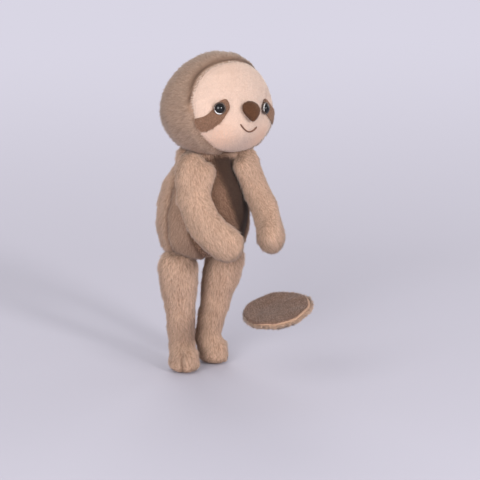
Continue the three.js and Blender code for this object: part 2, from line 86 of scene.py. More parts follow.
# %% Camera
VIEW_AZIMUTH = math.radians(-35)
VIEW_ELEVATION = math.radians(15)
VIEW_DISTANCE = 2.4
VIEW_TARGET = at(20, -36, 135)
SENSOR_WIDTH = 36
FRAME_PIXELS = 480
FOCAL_PIXELS = 2400

outward = Vector((
    math.sin(VIEW_AZIMUTH) * math.cos(VIEW_ELEVATION),
    -math.cos(VIEW_AZIMUTH) * math.cos(VIEW_ELEVATION),
    math.sin(VIEW_ELEVATION),
))
lens = bpy.data.cameras.new("camera")
lens.sensor_width = SENSOR_WIDTH
lens.lens = SENSOR_WIDTH * FOCAL_PIXELS / FRAME_PIXELS
lens.clip_end = 20
camera = bpy.data.objects.new("camera", lens)
camera.location = VIEW_TARGET + outward * VIEW_DISTANCE
camera.rotation_euler = outward.to_track_quat("Z", "Y").to_euler()
scene.collection.objects.link(camera)
scene.camera = camera
print("camera at", [round(v, 3) for v in camera.location])


# %% [markdown]
# ## Small helpers
# Every piece starts as a bmesh and ends as an object whose mesh is in its final place. `settled`
# applies what modifiers a piece has, so that later steps see the real surface. `store` keeps a value
# on each point of a piece, for its pile or its material to read.

# %% Helpers
def object_of(mesh, name):
    piece = bpy.data.objects.new(name, mesh)
    scene.collection.objects.link(piece)
    return piece


def piece_from(shape, name):
    mesh = bpy.data.meshes.new(name)
    shape.to_mesh(mesh)
    shape.free()
    return object_of(mesh, name)


@contextmanager
def opened(piece):
    """A piece's mesh as a bmesh, written back when the work on it is done"""
    shape = bmesh.new()
    shape.from_mesh(piece.data)
    yield shape
    shape.to_mesh(piece.data)
    shape.free()


def settled(piece):
    made = bpy.data.meshes.new_from_object(piece.evaluated_get(bpy.context.evaluated_depsgraph_get()))
    piece.modifiers.clear()
    old, piece.data = piece.data, made
    bpy.data.meshes.remove(old)
    return piece


def clad(piece, finish):
    piece.data.materials.clear()
    piece.data.materials.append(finish)


def as_cushion(piece, finish, body, fill, *replaced):
    """A piece's cloth, its body, how full it is (fill is not used), and the frame's nodes that it stands for"""
    clad(piece, finish)
    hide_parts(*replaced)
    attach(piece, body)


def rows(items, field):
    """The three values of a field, one row for each item"""
    values = np.empty(len(items) * 3)
    items.foreach_get(field, values)
    return values.reshape(-1, 3)


def store(piece, name, values, kind="FLOAT"):
    layers = piece.data.attributes
    layer = layers.get(name) or layers.new(name, kind, "POINT")
    layer.data.foreach_set("vector" if kind == "FLOAT_VECTOR" else "value", values)


def smoothstep(low, high, value):
    t = min(1, max(0, (value - low) / (high - low)))
    return t * t * (3 - 2 * t)


def bell(value, width):
    return math.exp(-(value / width) ** 2)


# %% [markdown]
# ## Stuffed forms
# The frame's torso and limbs are faceted solids. On the real toy the cloth is tight over soft fibre,
# so each form is rebuilt as one even mesh, blown up with a little pressure in a cloth simulation, and
# then held to within a few millimetres of its solid, so that it still fits its neighbours.

# %% A bag of cloth from the frame's solids
def merged_solid(name, sources, cell):
    shape = bmesh.new()
    for source in sources:
        shape.from_mesh(nodes[source].data)
    bmesh.ops.remove_doubles(shape, verts=shape.verts, dist=1e-6)
    piece = piece_from(shape, name)
    even = piece.modifiers.new("even cells", "REMESH")
    even.mode = "VOXEL"
    even.voxel_size = cell
    keep_outer(settled(piece))
    return piece


def keep_outer(piece):
    """Leave only the largest island of a mesh, which drops any shell inside it"""
    with opened(piece) as shape:
        left, islands = set(shape.verts), []
        while left:
            island, reached = set(), {left.pop()}
            while reached:
                island |= reached
                reached = {v for vertex in reached for link in vertex.link_edges for v in link.verts} & left
                left -= reached
            islands.append(island)
        for island in sorted(islands, key=len)[:-1]:
            bmesh.ops.delete(shape, geom=list(island), context="VERTS")


def smoothed(piece, rounds):
    with opened(piece) as shape:
        for _ in range(rounds):
            bmesh.ops.smooth_vert(shape, verts=shape.verts, factor=0.5,
                                  use_axis_x=True, use_axis_y=True, use_axis_z=True)


def subdivided(piece):
    finer = piece.modifiers.new("finer", "SUBSURF")
    finer.levels = finer.render_levels = 1
    settled(piece)


# %% Fill a bag, and shape its cloth
PRESSURE = 4
FILLING_STEPS = 20
SWELL_LIMIT = 1.5 * MM


def blown_up(piece):
    """Cloth with air in it; no point ends more than the limit from where it began"""
    before = rows(piece.data.vertices, "co")
    cloth = piece.modifiers.new("filling", "CLOTH")
    cloth.settings.use_pressure = True
    cloth.settings.uniform_pressure_force = PRESSURE
    cloth.settings.effector_weights.gravity = 0
    for step in range(1, FILLING_STEPS + 1):
        scene.frame_set(step)
    settled(piece)
    scene.frame_set(1)
    moved = rows(piece.data.vertices, "co") - before
    length = np.linalg.norm(moved, axis=1, keepdims=True)
    moved *= np.minimum(1, SWELL_LIMIT / np.maximum(length, 1e-9))
    piece.data.vertices.foreach_set("co", (before + moved).ravel())
    piece.data.update()


def reshaped(piece, step):
    """Move every point by a step worked out from its normal and its place"""
    normals = [vertex.normal.copy() for vertex in piece.data.vertices]
    for vertex, normal in zip(piece.data.vertices, normals):
        vertex.co += step(normal, vertex.co)


def pulled_in(piece, crease, depth):
    """Draw the cloth in where the crease value is high"""
    reshaped(piece, lambda normal, spot: -(normal * depth * crease(spot)))


def lumpy(piece, height, size):
    """The small unevenness that loose fibre gives a stuffed form"""
    reshaped(piece, lambda normal, spot: normal * height * noise.noise(spot / size))


def stuffed_form(name, sources, cell, inset):
    """The inset leaves room for the pile, so that the fur ends where the frame's solid does"""
    piece = merged_solid(name, sources, cell)
    smoothed(piece, 4)
    blown_up(piece)
    smoothed(piece, 1)
    subdivided(piece)
    pulled_in(piece, inset, 1)
    print(name, len(piece.data.polygons), "faces")
    return piece


# %% [markdown]
# ## How the pile lies
# Fur cloth has a nap: the strands all lean one way, down the body and along each limb. Three values
# are painted on the points of each bag: `comb`, the way the strands lean, `crease`, where the fur is
# darkened: in seams and clefts, which pull the cloth in, partly for the seam's own dark thread and partly
# as painted shade, and elsewhere as painted shade alone; and `length_share`, how long the pile is there.

# %% Paint the nap on a bag
def paint(piece, comb, crease=lambda spot: 0, length_share=lambda spot: 1):
    spots = [vertex.co.copy() for vertex in piece.data.vertices]
    store(piece, "comb", [value for spot in spots for value in comb(spot)], "FLOAT_VECTOR")
    store(piece, "crease", [crease(spot) for spot in spots])
    store(piece, "length_share", [length_share(spot) for spot in spots])


# %% [markdown]
# ## Locks of pile
# A strand is a thin spike. Sowing single strands evenly gives a brush, not fur, because real pile
# gathers in locks. So a lock of a few strands is modelled once, in several versions, and the locks
# are sown. Each strand keeps two values for the material: how far along it a point is, and a shade of
# its own. A spike of four faces is enough: at this size, many fine strands look softer than a few
# well-shaped ones.

# %% Model one lock
STRANDS = 8
STRAND_LENGTHS = (0.65, 1.1)
STRAND_WIDTHS = (0.8, 1.2)
GATHER = 0.7
STRAY = 0.35


def add_strand(shape, tip_layer, shade_layer, root, lean, length, width, shade):
    """A three-sided spike that stands on its root and leans over at its tip"""
    made = bmesh.ops.create_cone(shape, cap_ends=True, segments=3, radius1=width / 2, radius2=0, depth=length)
    for vertex in made["verts"]:
        at_tip = vertex.co.z > 0
        vertex[shade_layer] = shade
        vertex[tip_layer] = 1 if at_tip else 0
        vertex.co.z += length / 2
        vertex.co += root
        if at_tip:
            vertex.co += lean
    bmesh.ops.remove_doubles(shape, verts=made["verts"], dist=width / 100)


def lock_of_pile(name, seed, length, width, spread):
    """Strands that start apart and draw together towards their tips"""
    chance = random.Random(seed)
    shape = bmesh.new()
    tip_layer = shape.verts.layers.float.new("tip")
    shade_layer = shape.verts.layers.float.new("shade")
    for _ in range(STRANDS):
        angle, reach = chance.uniform(0, math.tau), spread * math.sqrt(chance.random())
        root = Vector((reach * math.cos(angle), reach * math.sin(angle), 0))
        stray = Vector((chance.gauss(0, 1), chance.gauss(0, 1), 0)) * spread * STRAY
        add_strand(shape, tip_layer, shade_layer, root, stray - root * GATHER,
                   length * chance.uniform(*STRAND_LENGTHS), width * chance.uniform(*STRAND_WIDTHS), chance.random())
    bmesh.ops.recalc_face_normals(shape, faces=shape.faces)
    return piece_from(shape, name)


# %% [markdown]
# ## Sow the locks
# Geometry nodes scatter points over the bag, lean each lock along the nap, let it stand up a little,
# and make everything real mesh at the end. The strands are then a piece of their own that moves with
# the same body as the cloth under it.

# %% Short names for nodes
def linked(tree, kind, inputs=None, **settings):
    node = tree.nodes.new(kind)
    for key, value in settings.items():
        setattr(node, key, value)
    for key, value in (inputs or {}).items():
        if isinstance(value, bpy.types.NodeSocket):
            tree.links.new(value, node.inputs[key])
        else:
            node.inputs[key].default_value = value
    return node


def maths(tree, operation, *values):
    return linked(tree, "ShaderNodeMath", dict(enumerate(values)), operation=operation).outputs[0]


def vectors(tree, operation, *values):
    return linked(tree, "ShaderNodeVectorMath", dict(enumerate(values)), operation=operation).outputs[0]


def scaled(tree, vector, factor):
    return linked(tree, "ShaderNodeVectorMath", {0: vector, "Scale": factor}, operation="SCALE").outputs[0]


def painted(tree, name, kind="FLOAT"):
    return linked(tree, "GeometryNodeInputNamedAttribute", {"Name": name}, data_type=kind).outputs[0]


def stored(tree, points, name, value, kind="FLOAT"):
    return linked(tree, "GeometryNodeStoreNamedAttribute", {"Geometry": points, "Name": name, "Value": value},
                  data_type=kind, domain="POINT").outputs[0]


def between(tree, low, high, seed):
    return linked(tree, "FunctionNodeRandomValue", {2: low, 3: high, "Seed": seed}, data_type="FLOAT").outputs[1]


# %% Node group that sows locks over a bag
SWIRL_SCALE = 45
WHIRL = 0.7
LOCK_SIZES = (0.75, 1.2)
SHORTER_IN_SEAM = 0.45


def lock_rotation(tree, normal, lift, sway, seed):
    """Along the nap, with a little swirl and stray, and lifted off the cloth"""
    stray = linked(tree, "FunctionNodeRandomValue", {0: (-sway,) * 3, 1: (sway,) * 3, "Seed": seed + 1},
                   data_type="FLOAT_VECTOR").outputs[0]
    swirl = linked(tree, "ShaderNodeTexNoise", {"Scale": SWIRL_SCALE, "Detail": 1}).outputs["Color"]
    swirl = scaled(tree, vectors(tree, "SUBTRACT", swirl, (0.5, 0.5, 0.5)), WHIRL)
    lean = vectors(tree, "ADD", vectors(tree, "ADD", painted(tree, "comb", "FLOAT_VECTOR"), stray), swirl)
    flat = vectors(tree, "NORMALIZE", vectors(tree, "SUBTRACT", lean, vectors(tree, "PROJECT", lean, normal)))
    rise = between(tree, *lift, seed + 2)
    flat = scaled(tree, flat, maths(tree, "COSINE", rise))
    tall = scaled(tree, normal, maths(tree, "SINE", rise))
    return linked(tree, "FunctionNodeAxesToRotation", {0: vectors(tree, "ADD", flat, tall), 1: normal},
                  primary_axis="Z", secondary_axis="X").outputs[0]


def sowing_tree(name, locks, apart, lift, sway, seed):
    tree = bpy.data.node_groups.new(name, "GeometryNodeTree")
    for way in ("INPUT", "OUTPUT"):
        tree.interface.new_socket("Geometry", in_out=way, socket_type="NodeSocketGeometry")
    sown = linked(tree, "GeometryNodeDistributePointsOnFaces",
                  {"Mesh": tree.nodes.new("NodeGroupInput").outputs[0], "Distance Min": apart,
                   "Density Max": 4 / apart ** 2, "Seed": seed}, distribute_method="POISSON")
    normal = sown.outputs["Normal"]
    points = stored(tree, sown.outputs["Points"], "tone", between(tree, 0, 1, seed + 3))
    points = stored(tree, points, "cloth_normal", normal, "FLOAT_VECTOR")

    pool = tree.nodes.new("GeometryNodeJoinGeometry")
    for lock in locks:
        info = linked(tree, "GeometryNodeObjectInfo", {"Object": lock, "As Instance": True})
        tree.links.new(info.outputs["Geometry"], pool.inputs[0])
    pick = linked(tree, "FunctionNodeRandomValue", {4: 0, 5: len(locks) - 1, "Seed": seed + 4},
                  data_type="INT").outputs[2]
    shorter = maths(tree, "MULTIPLY_ADD", painted(tree, "crease"), -SHORTER_IN_SEAM, 1)
    size = maths(tree, "MULTIPLY", between(tree, *LOCK_SIZES, seed + 5), shorter)
    size = maths(tree, "MULTIPLY", size, painted(tree, "length_share"))
    grown = linked(tree, "GeometryNodeInstanceOnPoints",
                   {"Points": points, "Instance": pool.outputs[0], "Pick Instance": True, "Instance Index": pick,
                    "Rotation": lock_rotation(tree, normal, lift, sway, seed),
                    "Scale": linked(tree, "ShaderNodeCombineXYZ", {0: 1, 1: 1, 2: size}).outputs[0]})
    real = linked(tree, "GeometryNodeRealizeInstances", {"Geometry": grown.outputs[0]})
    tree.links.new(real.outputs[0], tree.nodes.new("NodeGroupOutput").inputs[0])
    return tree


# %% Sow a bag
LOCK_VERSIONS = 4
FACES_PER_STRAND = 4
PACKING = 0.62
CLOTH_SHARE = 0.7


def lit_as_cloth(strands):
    """Fine strands scatter light so evenly that pile is lit much as the cloth under it would be"""
    mesh = strands.data
    mesh.shade_smooth()
    cloth = rows(mesh.attributes["cloth_normal"].data, "vector")
    normals = CLOTH_SHARE * cloth + (1 - CLOTH_SHARE) * rows(mesh.vertex_normals, "vector")
    mesh.normals_split_custom_set_from_vertices(normals / np.linalg.norm(normals, axis=1, keepdims=True))


def pile(name, bag, body, finish, seed, keep=lambda centre, normal: True, length=6 * MM, width=0.36 * MM,
         spread=1.2 * MM, lift=(0.15, 0.52), sway=0.3, slot="tan_fur", faces=160000):
    """Sow locks over the kept faces of a bag and hand them to a body"""
    ground = object_of(bag.data.copy(), name)
    with opened(ground) as shape:
        bare = [face for face in shape.faces if not keep(face.calc_center_median(), face.normal)]
        bmesh.ops.delete(shape, geom=bare, context="FACES")
        area = sum(face.calc_area() for face in shape.faces)
    apart = math.sqrt(PACKING * area * STRANDS * FACES_PER_STRAND / faces)
    locks = [lock_of_pile(f"lock_{i}", seed * 10 + i, length, width, spread) for i in range(LOCK_VERSIONS)]
    sow = ground.modifiers.new("sow", "NODES")
    sow.node_group = sowing_tree(name, locks, apart, lift, sway, seed)
    settled(ground)
    lit_as_cloth(ground)
    for lock in locks:
        bpy.data.objects.remove(lock)
    clad(ground, finish)
    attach(ground, body)
    print(f"{name}: {len(ground.data.polygons)} faces, locks {apart / MM:.2f} mm apart over {area * 1e4:.0f} cm2")


# %% [markdown]
# ## Finishes
# All colours are read from the cloth itself; the seam colour also serves as painted shade. A strand is
# darker at its root, where little light gets in, and paler at its tip, and each lock and strand differs a
# little from the next. The cloth under the pile has the root's colour.

# %% Parts of a finish
# How far the crease value darkens pile and cloth: the seams' dark thread, and painted shade
SEAM_STRENGTH = 0.85


def srgb(red, green, blue):
    """A colour as a picture editor gives it, 0 to 255, made linear for a shader"""
    shares = [value / 255 for value in (red, green, blue)]
    return [s / 12.92 if s < 0.04045 else ((s + 0.055) / 1.055) ** 2.4 for s in shares] + [1]


def value_of(tree, name):
    return linked(tree, "ShaderNodeAttribute", attribute_name=name).outputs["Fac"]


def mottle(tree, scale, detail):
    place = linked(tree, "ShaderNodeTexCoord").outputs["Object"]
    return linked(tree, "ShaderNodeTexNoise", {"Vector": place, "Scale": scale, "Detail": detail}).outputs["Fac"]


def mixed(tree, share, first, second):
    return linked(tree, "ShaderNodeMix", {0: share, 6: first, 7: second}, data_type="RGBA").outputs[2]


# Darker where the crease value is high: a seam's own dark thread, and painted shade in seams, clefts, beside the arms
# and on the belly
def seam_thread_and_shade(tree, colour, seam):
    return mixed(tree, maths(tree, "MULTIPLY", value_of(tree, "crease"), SEAM_STRENGTH), colour, seam)


def new_finish(name, roughness, sheen=0.0, specular=0.2):
    finish = bpy.data.materials.new(name)
    finish.use_nodes = True
    shader = finish.node_tree.nodes["Principled BSDF"]
    for socket, value in (("Roughness", roughness), ("Sheen Weight", sheen), ("Sheen Roughness", 0.5),
                          ("Specular IOR Level", specular)):
        shader.inputs[socket].default_value = value
    return finish, finish.node_tree, shader


# %% Pile and cloth materials
TINT_SIZE = 30 * MM
MIDDLE_OF_STRAND = 0.45
LOCK_WEIGHT = 1.5
STRAND_WEIGHT = 0.5
SHADE_RANGE = (0.6, 2.4)
GRAIN = 1.2 * MM
GRAIN_RELIEF = 0.3 * MM


def pile_finish(name, *colours, contrast=0.17, blush=None):
    """The colours are those of a strand's root, middle and tip, and of a strand in a seam, a colour also used for
    painted shade
    """
    root, middle, tip, seam = (srgb(*colour) for colour in colours)
    finish, tree, shader = new_finish(name, 0.85, 0.15)
    ramp = linked(tree, "ShaderNodeValToRGB", {0: value_of(tree, "tip")})
    ramp.color_ramp.elements[0].color = root
    ramp.color_ramp.elements[1].color = tip
    ramp.color_ramp.elements.new(MIDDLE_OF_STRAND).color = middle
    shade = maths(tree, "MULTIPLY_ADD", value_of(tree, "tone"), LOCK_WEIGHT, mottle(tree, 1 / TINT_SIZE, 2))
    shade = maths(tree, "MULTIPLY_ADD", value_of(tree, "shade"), STRAND_WEIGHT, shade)
    bright = linked(tree, "ShaderNodeMapRange",
                    {0: shade, 1: SHADE_RANGE[0], 2: SHADE_RANGE[1], 3: 1 - contrast, 4: 1 + contrast}).outputs[0]
    shown = scaled(tree, ramp.outputs[0], bright)
    if blush:
        shown = mixed(tree, value_of(tree, "blush"), shown, srgb(*blush))
    tree.links.new(seam_thread_and_shade(tree, shown, seam), shader.inputs["Base Color"])
    return finish


def cloth_finish(name, *colours):
    """Cloth seen between the strands: mottled from the first colour to the second, the third in seams and in painted
    shade
    """
    pale, deep, seam = (srgb(*colour) for colour in colours)
    finish, tree, shader = new_finish(name, 0.95, 0.1)
    grain = mottle(tree, 1 / GRAIN, 3)
    tree.links.new(seam_thread_and_shade(tree, mixed(tree, grain, deep, pale), seam), shader.inputs["Base Color"])
    bump = linked(tree, "ShaderNodeBump", {"Height": grain, "Strength": 0.5, "Distance": GRAIN_RELIEF})
    tree.links.new(bump.outputs[0], shader.inputs["Normal"])
    return finish


# Rows give root, middle, tip and seam colours; the seam colour is also used for painted shade
PILES = {
    "hood": ((146, 118, 100), (178, 149, 130), (194, 166, 147), (80, 53, 39)),
    "tan": ((166, 132, 110), (206, 171, 148), (221, 188, 166), (100, 70, 53)),
    "cream": ((212, 183, 166), (228, 203, 188), (234, 211, 198), (180, 142, 122)),
    "velour": ((128, 94, 75), (176, 138, 114), (196, 156, 131), (52, 36, 29)),
    "lining": ((92, 69, 57), (140, 113, 99), (160, 132, 118), (70, 50, 40)),
    "patch": ((112, 82, 65), (148, 112, 91), (166, 130, 108), (90, 64, 50)),
    "nose": ((76, 47, 31), (108, 71, 49), (128, 90, 66), (60, 38, 26)),
}
CLOTHS = {
    "hood": ((160, 131, 112), (134, 106, 88), (56, 36, 26)),
    "tan": ((186, 151, 129), (146, 114, 94), (84, 58, 43)),
    "cream": ((226, 199, 183), (212, 181, 163), (66, 43, 32)),
    "velour": ((112, 84, 68), (84, 60, 48), (50, 35, 28)),
    "lining": ((126, 99, 86), (96, 72, 60), (70, 50, 40)),
    "patch": ((140, 105, 85), (112, 82, 65), (90, 64, 50)),
    "nose": ((100, 66, 46), (76, 48, 33), (60, 38, 26)),
}
VARIED = {"cream": {"contrast": 0.09, "blush": (236, 196, 172)}, "lining": {"contrast": 0.26}}
piles = {name: pile_finish(f"{name}_pile", *colours, **VARIED.get(name, {})) for name, colours in PILES.items()}
cloths = {name: cloth_finish(f"{name}_cloth", *colours) for name, colours in CLOTHS.items()}
print(len(piles), "kinds of pile, and the cloth under each")

# %% [markdown]
# ## Head
# The head is a ball that is full at the cheeks and narrower at the crown, tipped forwards and to one
# side. Its poles are put at the front and the back, so that one ring of edges can lie exactly on the
# oval seam between face and hood, with a ring close to it on either side to keep the seam narrow. The
# cloth lies inside the frame's surface by the height of its pile.

# %% The head's form
HEAD_HALF = Vector((58, 53, 53.5)) * MM
HEAD_TAPER = 0.12
HEAD_CENTRE = at(10, -12, 270.5)
HEAD_NOD = math.radians(4)
HEAD_TILT = math.radians(7)

head_place = (Matrix.Translation(HEAD_CENTRE) @ Matrix.Rotation(HEAD_NOD, 4, "X")
              @ Matrix.Rotation(HEAD_TILT, 4, "Y"))
head_inverse = head_place.inverted()
head_turn = head_place.to_3x3()
ahead = head_turn @ Vector((0, -1, 0))


def head_section(z, step=0):
    """Half the head's width and depth at a height, a step inside its surface"""
    swell = 1 - HEAD_TAPER * z / HEAD_HALF.z
    return HEAD_HALF.x * swell - step, HEAD_HALF.y * swell - step, HEAD_HALF.z - step


def head_front(x, z, step=0):
    """The front of the head at (x, z), and the way it looks there"""
    wide, deep, tall = head_section(z, step)
    y = -deep * math.sqrt(max(0, 1 - (x / wide) ** 2 - (z / tall) ** 2))
    tip = HEAD_TAPER / ((wide / HEAD_HALF.x) * tall) * (1 - (z / tall) ** 2)
    return Vector((x, y, z)), Vector((x / wide ** 2, y / deep ** 2, z / tall ** 2 + tip)).normalized()


# %% A ball with a ring of edges on the seam
SEAM_HALF_WIDTH = 49 * MM
SEAM_HALF_HEIGHT = 44.5 * MM
SEAM_RISE = 3.8 * MM
SEAM_RING = 22
HEAD_RINGS = 66
HEAD_SIDES = 112
BESIDE_SEAM = 0.9 * MM
seam_angle = math.pi * SEAM_RING / HEAD_RINGS


def seam_reach(x, z):
    """How far out (x, z) lies, as a share of the way to the seam"""
    return math.hypot(x / SEAM_HALF_WIDTH, (z - SEAM_RISE) / SEAM_HALF_HEIGHT)


def head_ball():
    """In front, rings grow from the middle of the face to its seam, then to the head's widest line"""
    shape = bmesh.new()
    bmesh.ops.create_uvsphere(shape, u_segments=HEAD_SIDES, v_segments=HEAD_RINGS, radius=1)
    bmesh.ops.rotate(shape, verts=shape.verts, matrix=Matrix.Rotation(math.pi / 2, 3, "X"))
    for vertex in shape.verts:
        unit = vertex.co.copy()
        z = HEAD_HALF.z * unit.z
        wide, deep, _ = head_section(z)
        if unit.y > -1e-6:
            vertex.co = Vector((wide * unit.x, deep * unit.y, z))
            continue
        out = math.hypot(unit.x, unit.z)
        across, up = (unit.x / out, unit.z / out) if out > 1e-6 else (0, 0)
        seam = Vector((SEAM_HALF_WIDTH * across, SEAM_RISE + SEAM_HALF_HEIGHT * up))
        middle, ring = Vector((0, SEAM_RISE)), round(HEAD_RINGS * math.acos(-unit.y) / math.pi)
        if ring <= SEAM_RING:
            spot = middle.lerp(seam, out / math.sin(seam_angle))
        else:
            widest = Vector((head_section(HEAD_HALF.z * up)[0] * across, HEAD_HALF.z * up))
            spot = seam.lerp(widest, (out - math.sin(seam_angle)) / (1 - math.sin(seam_angle)))
        if abs(ring - SEAM_RING) == 1:
            spot = seam + (seam - middle).normalized() * BESIDE_SEAM * (ring - SEAM_RING)
        vertex.co, _ = head_front(*spot)
    return shape


def split_head(front):
    """The face's side of the seam, or the hood's"""
    shape = head_ball()
    spots = {face: face.calc_center_median() for face in shape.faces}
    spare = [face for face, spot in spots.items() if (seam_reach(spot.x, spot.z) < 1 and spot.y < 0) != front]
    bmesh.ops.delete(shape, geom=spare, context="FACES")
    return shape


def rolled_edge(shape, steps):
    """Turn the open edge under in short steps, outwards and down, and close it at the bottom"""
    edges = [edge for edge in shape.edges if edge.is_boundary]
    for outward, down in steps:
        made = bmesh.ops.extrude_edge_only(shape, edges=edges)["geom"]
        edges = [item for item in made if isinstance(item, bmesh.types.BMEdge)]
        for vertex in {v for edge in edges for v in edge.verts}:
            away = Vector((vertex.co.x, 0, vertex.co.z - SEAM_RISE)).normalized()
            vertex.co += away * outward - vertex.co.normalized() * down
    filled = bmesh.ops.contextual_create(shape, geom=edges)["faces"]
    bmesh.ops.poke(shape, faces=filled)


# %% Seat the head
SHOULDER_SEAT = 228.4 * MM
SEAT_SOFTNESS = 1.2 * MM
CLEAR_OF_SEAT = 8


def seated(shape, name):
    """Put a shape in the head's place, and press it flat where it rests on the shoulders"""
    bmesh.ops.transform(shape, matrix=head_place, verts=shape.verts)
    for vertex in shape.verts:
        above = (vertex.co.z - SHOULDER_SEAT) / SEAT_SOFTNESS
        if above < CLEAR_OF_SEAT:
            vertex.co.z = SHOULDER_SEAT + SEAT_SOFTNESS * math.log1p(math.exp(above))
    bmesh.ops.recalc_face_normals(shape, faces=shape.faces)
    return piece_from(shape, name)


# %% [markdown]
# ## Hood
# The hood is the part of the ball behind the seam. Its edge rolls under, which leaves a narrow groove
# next to the face; the groove's pile and cloth are darkened, partly for the seam's dark thread and partly
# as painted shade. Underneath, the head is pressed flat where it sits on the shoulders.

# %% Hood
HOOD_PILE_DEPTH = 2.9 * MM
HEM_HEIGHT = 0.9 * MM
HEM_REACH = 3 * MM
HOOD_ROLL = ((-0.2 * MM, 0.3 * MM), (0, 0.8 * MM), (0.3 * MM, 2.2 * MM), (0.6 * MM, 2 * MM))
GROOVE = 0.65 * MM


def from_seam(local):
    """Distance from the face's seam, below zero on the face"""
    return (seam_reach(local.x, local.z) - 1) * SEAM_HALF_WIDTH if local.y < 0 else SEAM_HALF_WIDTH


def make_hood():
    shape = split_head(front=False)
    shape.normal_update()
    for vertex in shape.verts:
        vertex.co -= vertex.normal * HOOD_PILE_DEPTH
    for vertex in shape.verts:
        vertex.co += vertex.normal * HEM_HEIGHT * bell(from_seam(vertex.co) - HEM_REACH / 2, HEM_REACH)
    rolled_edge(shape, HOOD_ROLL)
    return seated(shape, "hood")


def hood_comb(spot):
    """Back from the face, and further down the further back it lies"""
    local = head_inverse @ spot
    down = -0.35 - 0.65 * smoothstep(-20 * MM, 45 * MM, local.y)
    away = Vector((local.x / HEAD_HALF.x, 0, local.z / HEAD_HALF.z)) * (1 - smoothstep(0, 30 * MM, local.y + 20 * MM))
    return head_turn @ (away * 0.6 + Vector((0, 0.8, down)))


# Darkening at the face's seam: partly the seam's dark thread, partly painted shade in the groove
def seam_crease(spot):
    return bell(from_seam(head_inverse @ spot), GROOVE)


hood = make_hood()
lumpy(hood, 0.7 * MM, 14 * MM)
paint(hood, hood_comb, seam_crease, lambda spot: 1 - 0.3 * bell(from_seam(head_inverse @ spot), 4 * MM))
as_cushion(hood, cloths["hood"], "head", 0.8, "head_hood", "head_stuffing")
print("hood", len(hood.data.polygons), "faces")


# %% Fur on the hood
def on_hood(side):
    """One half of the hood, less a bare edge at the hem, which is wider over the face than beside it"""
    def keep(centre, normal):
        local = head_inverse @ centre
        bare_edge = 0.7 * MM if local.z > 2 * MM else 0.2 * MM
        return from_seam(local) > bare_edge and side * local.x >= 0 and normal.z > -0.9
    return keep


for title, side, seed in (("hood_fur_right", -1, 11), ("hood_fur_left", 1, 12)):
    pile(title, hood, "head", piles["hood"], seed, on_hood(side), length=7 * MM, width=0.4 * MM,
         spread=1.4 * MM, faces=172000)

# %% [markdown]
# ## Face
# The face is one soft panel, drawn in at each eye, where the eye's stem pulls it against its washer,
# and full round the nose and mouth. Its pile is short.

# %% Face panel
FACE_STEP = 1.5 * MM
FACE_PILE_DEPTH = 0.7 * MM
EYE_SPREAD = 52.8 * MM
EYE_RISE = 5.3 * MM
EYE_SINK = 5.9 * MM
EYE_DENT_REACH = 12 * MM
MUZZLE_SWELL = 4.5 * MM
MUZZLE_HALF = (22 * MM, 17 * MM)
MUZZLE_RISE = -11.4 * MM
FACE_TUCK = 1.3 * MM
FACE_ROLL = ((-0.4 * MM, 0.8 * MM), (-0.6 * MM, 1.2 * MM))
CHEEK_ASIDE = 23 * MM
CHEEK_RISE = -21 * MM
CHEEK_REACH = 15 * MM


def face_swell(x, z):
    muzzle = (x / MUZZLE_HALF[0]) ** 2 + ((z - MUZZLE_RISE) / MUZZLE_HALF[1]) ** 2
    eye = ((abs(x) - EYE_SPREAD / 2) ** 2 + (z - EYE_RISE) ** 2) / EYE_DENT_REACH ** 2
    return MUZZLE_SWELL * math.exp(-muzzle) - EYE_SINK * math.exp(-eye)


def on_face(x, z, lift=0):
    """The point of the face in front of (x, z), in the head's frame, and the way it looks there"""
    spot, outward = head_front(x, z, FACE_STEP)
    spot.y -= face_swell(x, z)
    return spot + outward * lift, outward


def make_face():
    shape = split_head(front=True)
    for vertex in shape.verts:
        tuck = FACE_TUCK * smoothstep(0.965, 1, seam_reach(vertex.co.x, vertex.co.z))
        vertex.co, _ = on_face(vertex.co.x, vertex.co.z, -FACE_PILE_DEPTH - tuck)
    rolled_edge(shape, FACE_ROLL)
    return seated(shape, "face")


def face_comb(spot):
    """Out and down from the bridge of the nose"""
    return head_turn @ Vector((1.2 * (head_inverse @ spot).x / HEAD_HALF.x, 0.2, -0.9))


def cheek_blush(spot):
    local = head_inverse @ spot
    return 0.85 * bell(math.hypot(abs(local.x) - CHEEK_ASIDE, local.z - CHEEK_RISE), CHEEK_REACH)


face = make_face()
lumpy(face, 0.35 * MM, 12 * MM)
paint(face, face_comb, seam_crease)
store(face, "blush", [cheek_blush(vertex.co) for vertex in face.data.vertices])
as_cushion(face, cloths["cream"], "head", 0.8, "face_panel")
pile("face_plush", face, "head", piles["cream"], 21, length=2.5 * MM, width=0.26 * MM, spread=1 * MM,
     lift=(0.3, 0.8), slot="cream_plush", faces=172000,
     keep=lambda centre, normal: from_seam(head_inverse @ centre) < -0.7 * MM and normal.dot(ahead) > 0)

# %% [markdown]
# ## Eye patches
# A brown patch is cut from velour and sewn on under each eye, slanting down and out to the seam. Its
# outline is a smooth loop through a few points. The loop is drawn out into a slab, and the slab cuts
# the patch from a thick copy of the face, so that it lies on every hollow of it.

# %% Cut the patches
PATCH_HALF_THICK = 0.45 * MM
PATCH_WIDTH = 28.2 * MM
PATCH_HEIGHT = 33 * MM
PATCH_ASIDE = 18.2 * MM
PATCH_TOP = 14.9 * MM
PATCH_SHARES = (
    (0.12, 0), (0.035, 0.07), (0, 0.22), (0.07, 0.37), (0.26, 0.62), (0.4, 0.735), (0.585, 0.9), (0.72, 1),
    (0.88, 0.935), (1, 0.715), (0.97, 0.655), (0.8, 0.565), (0.67, 0.475), (0.5, 0.33), (0.3, 0.095), (0.2, 0.025),
)
LOOP_STEPS = 6


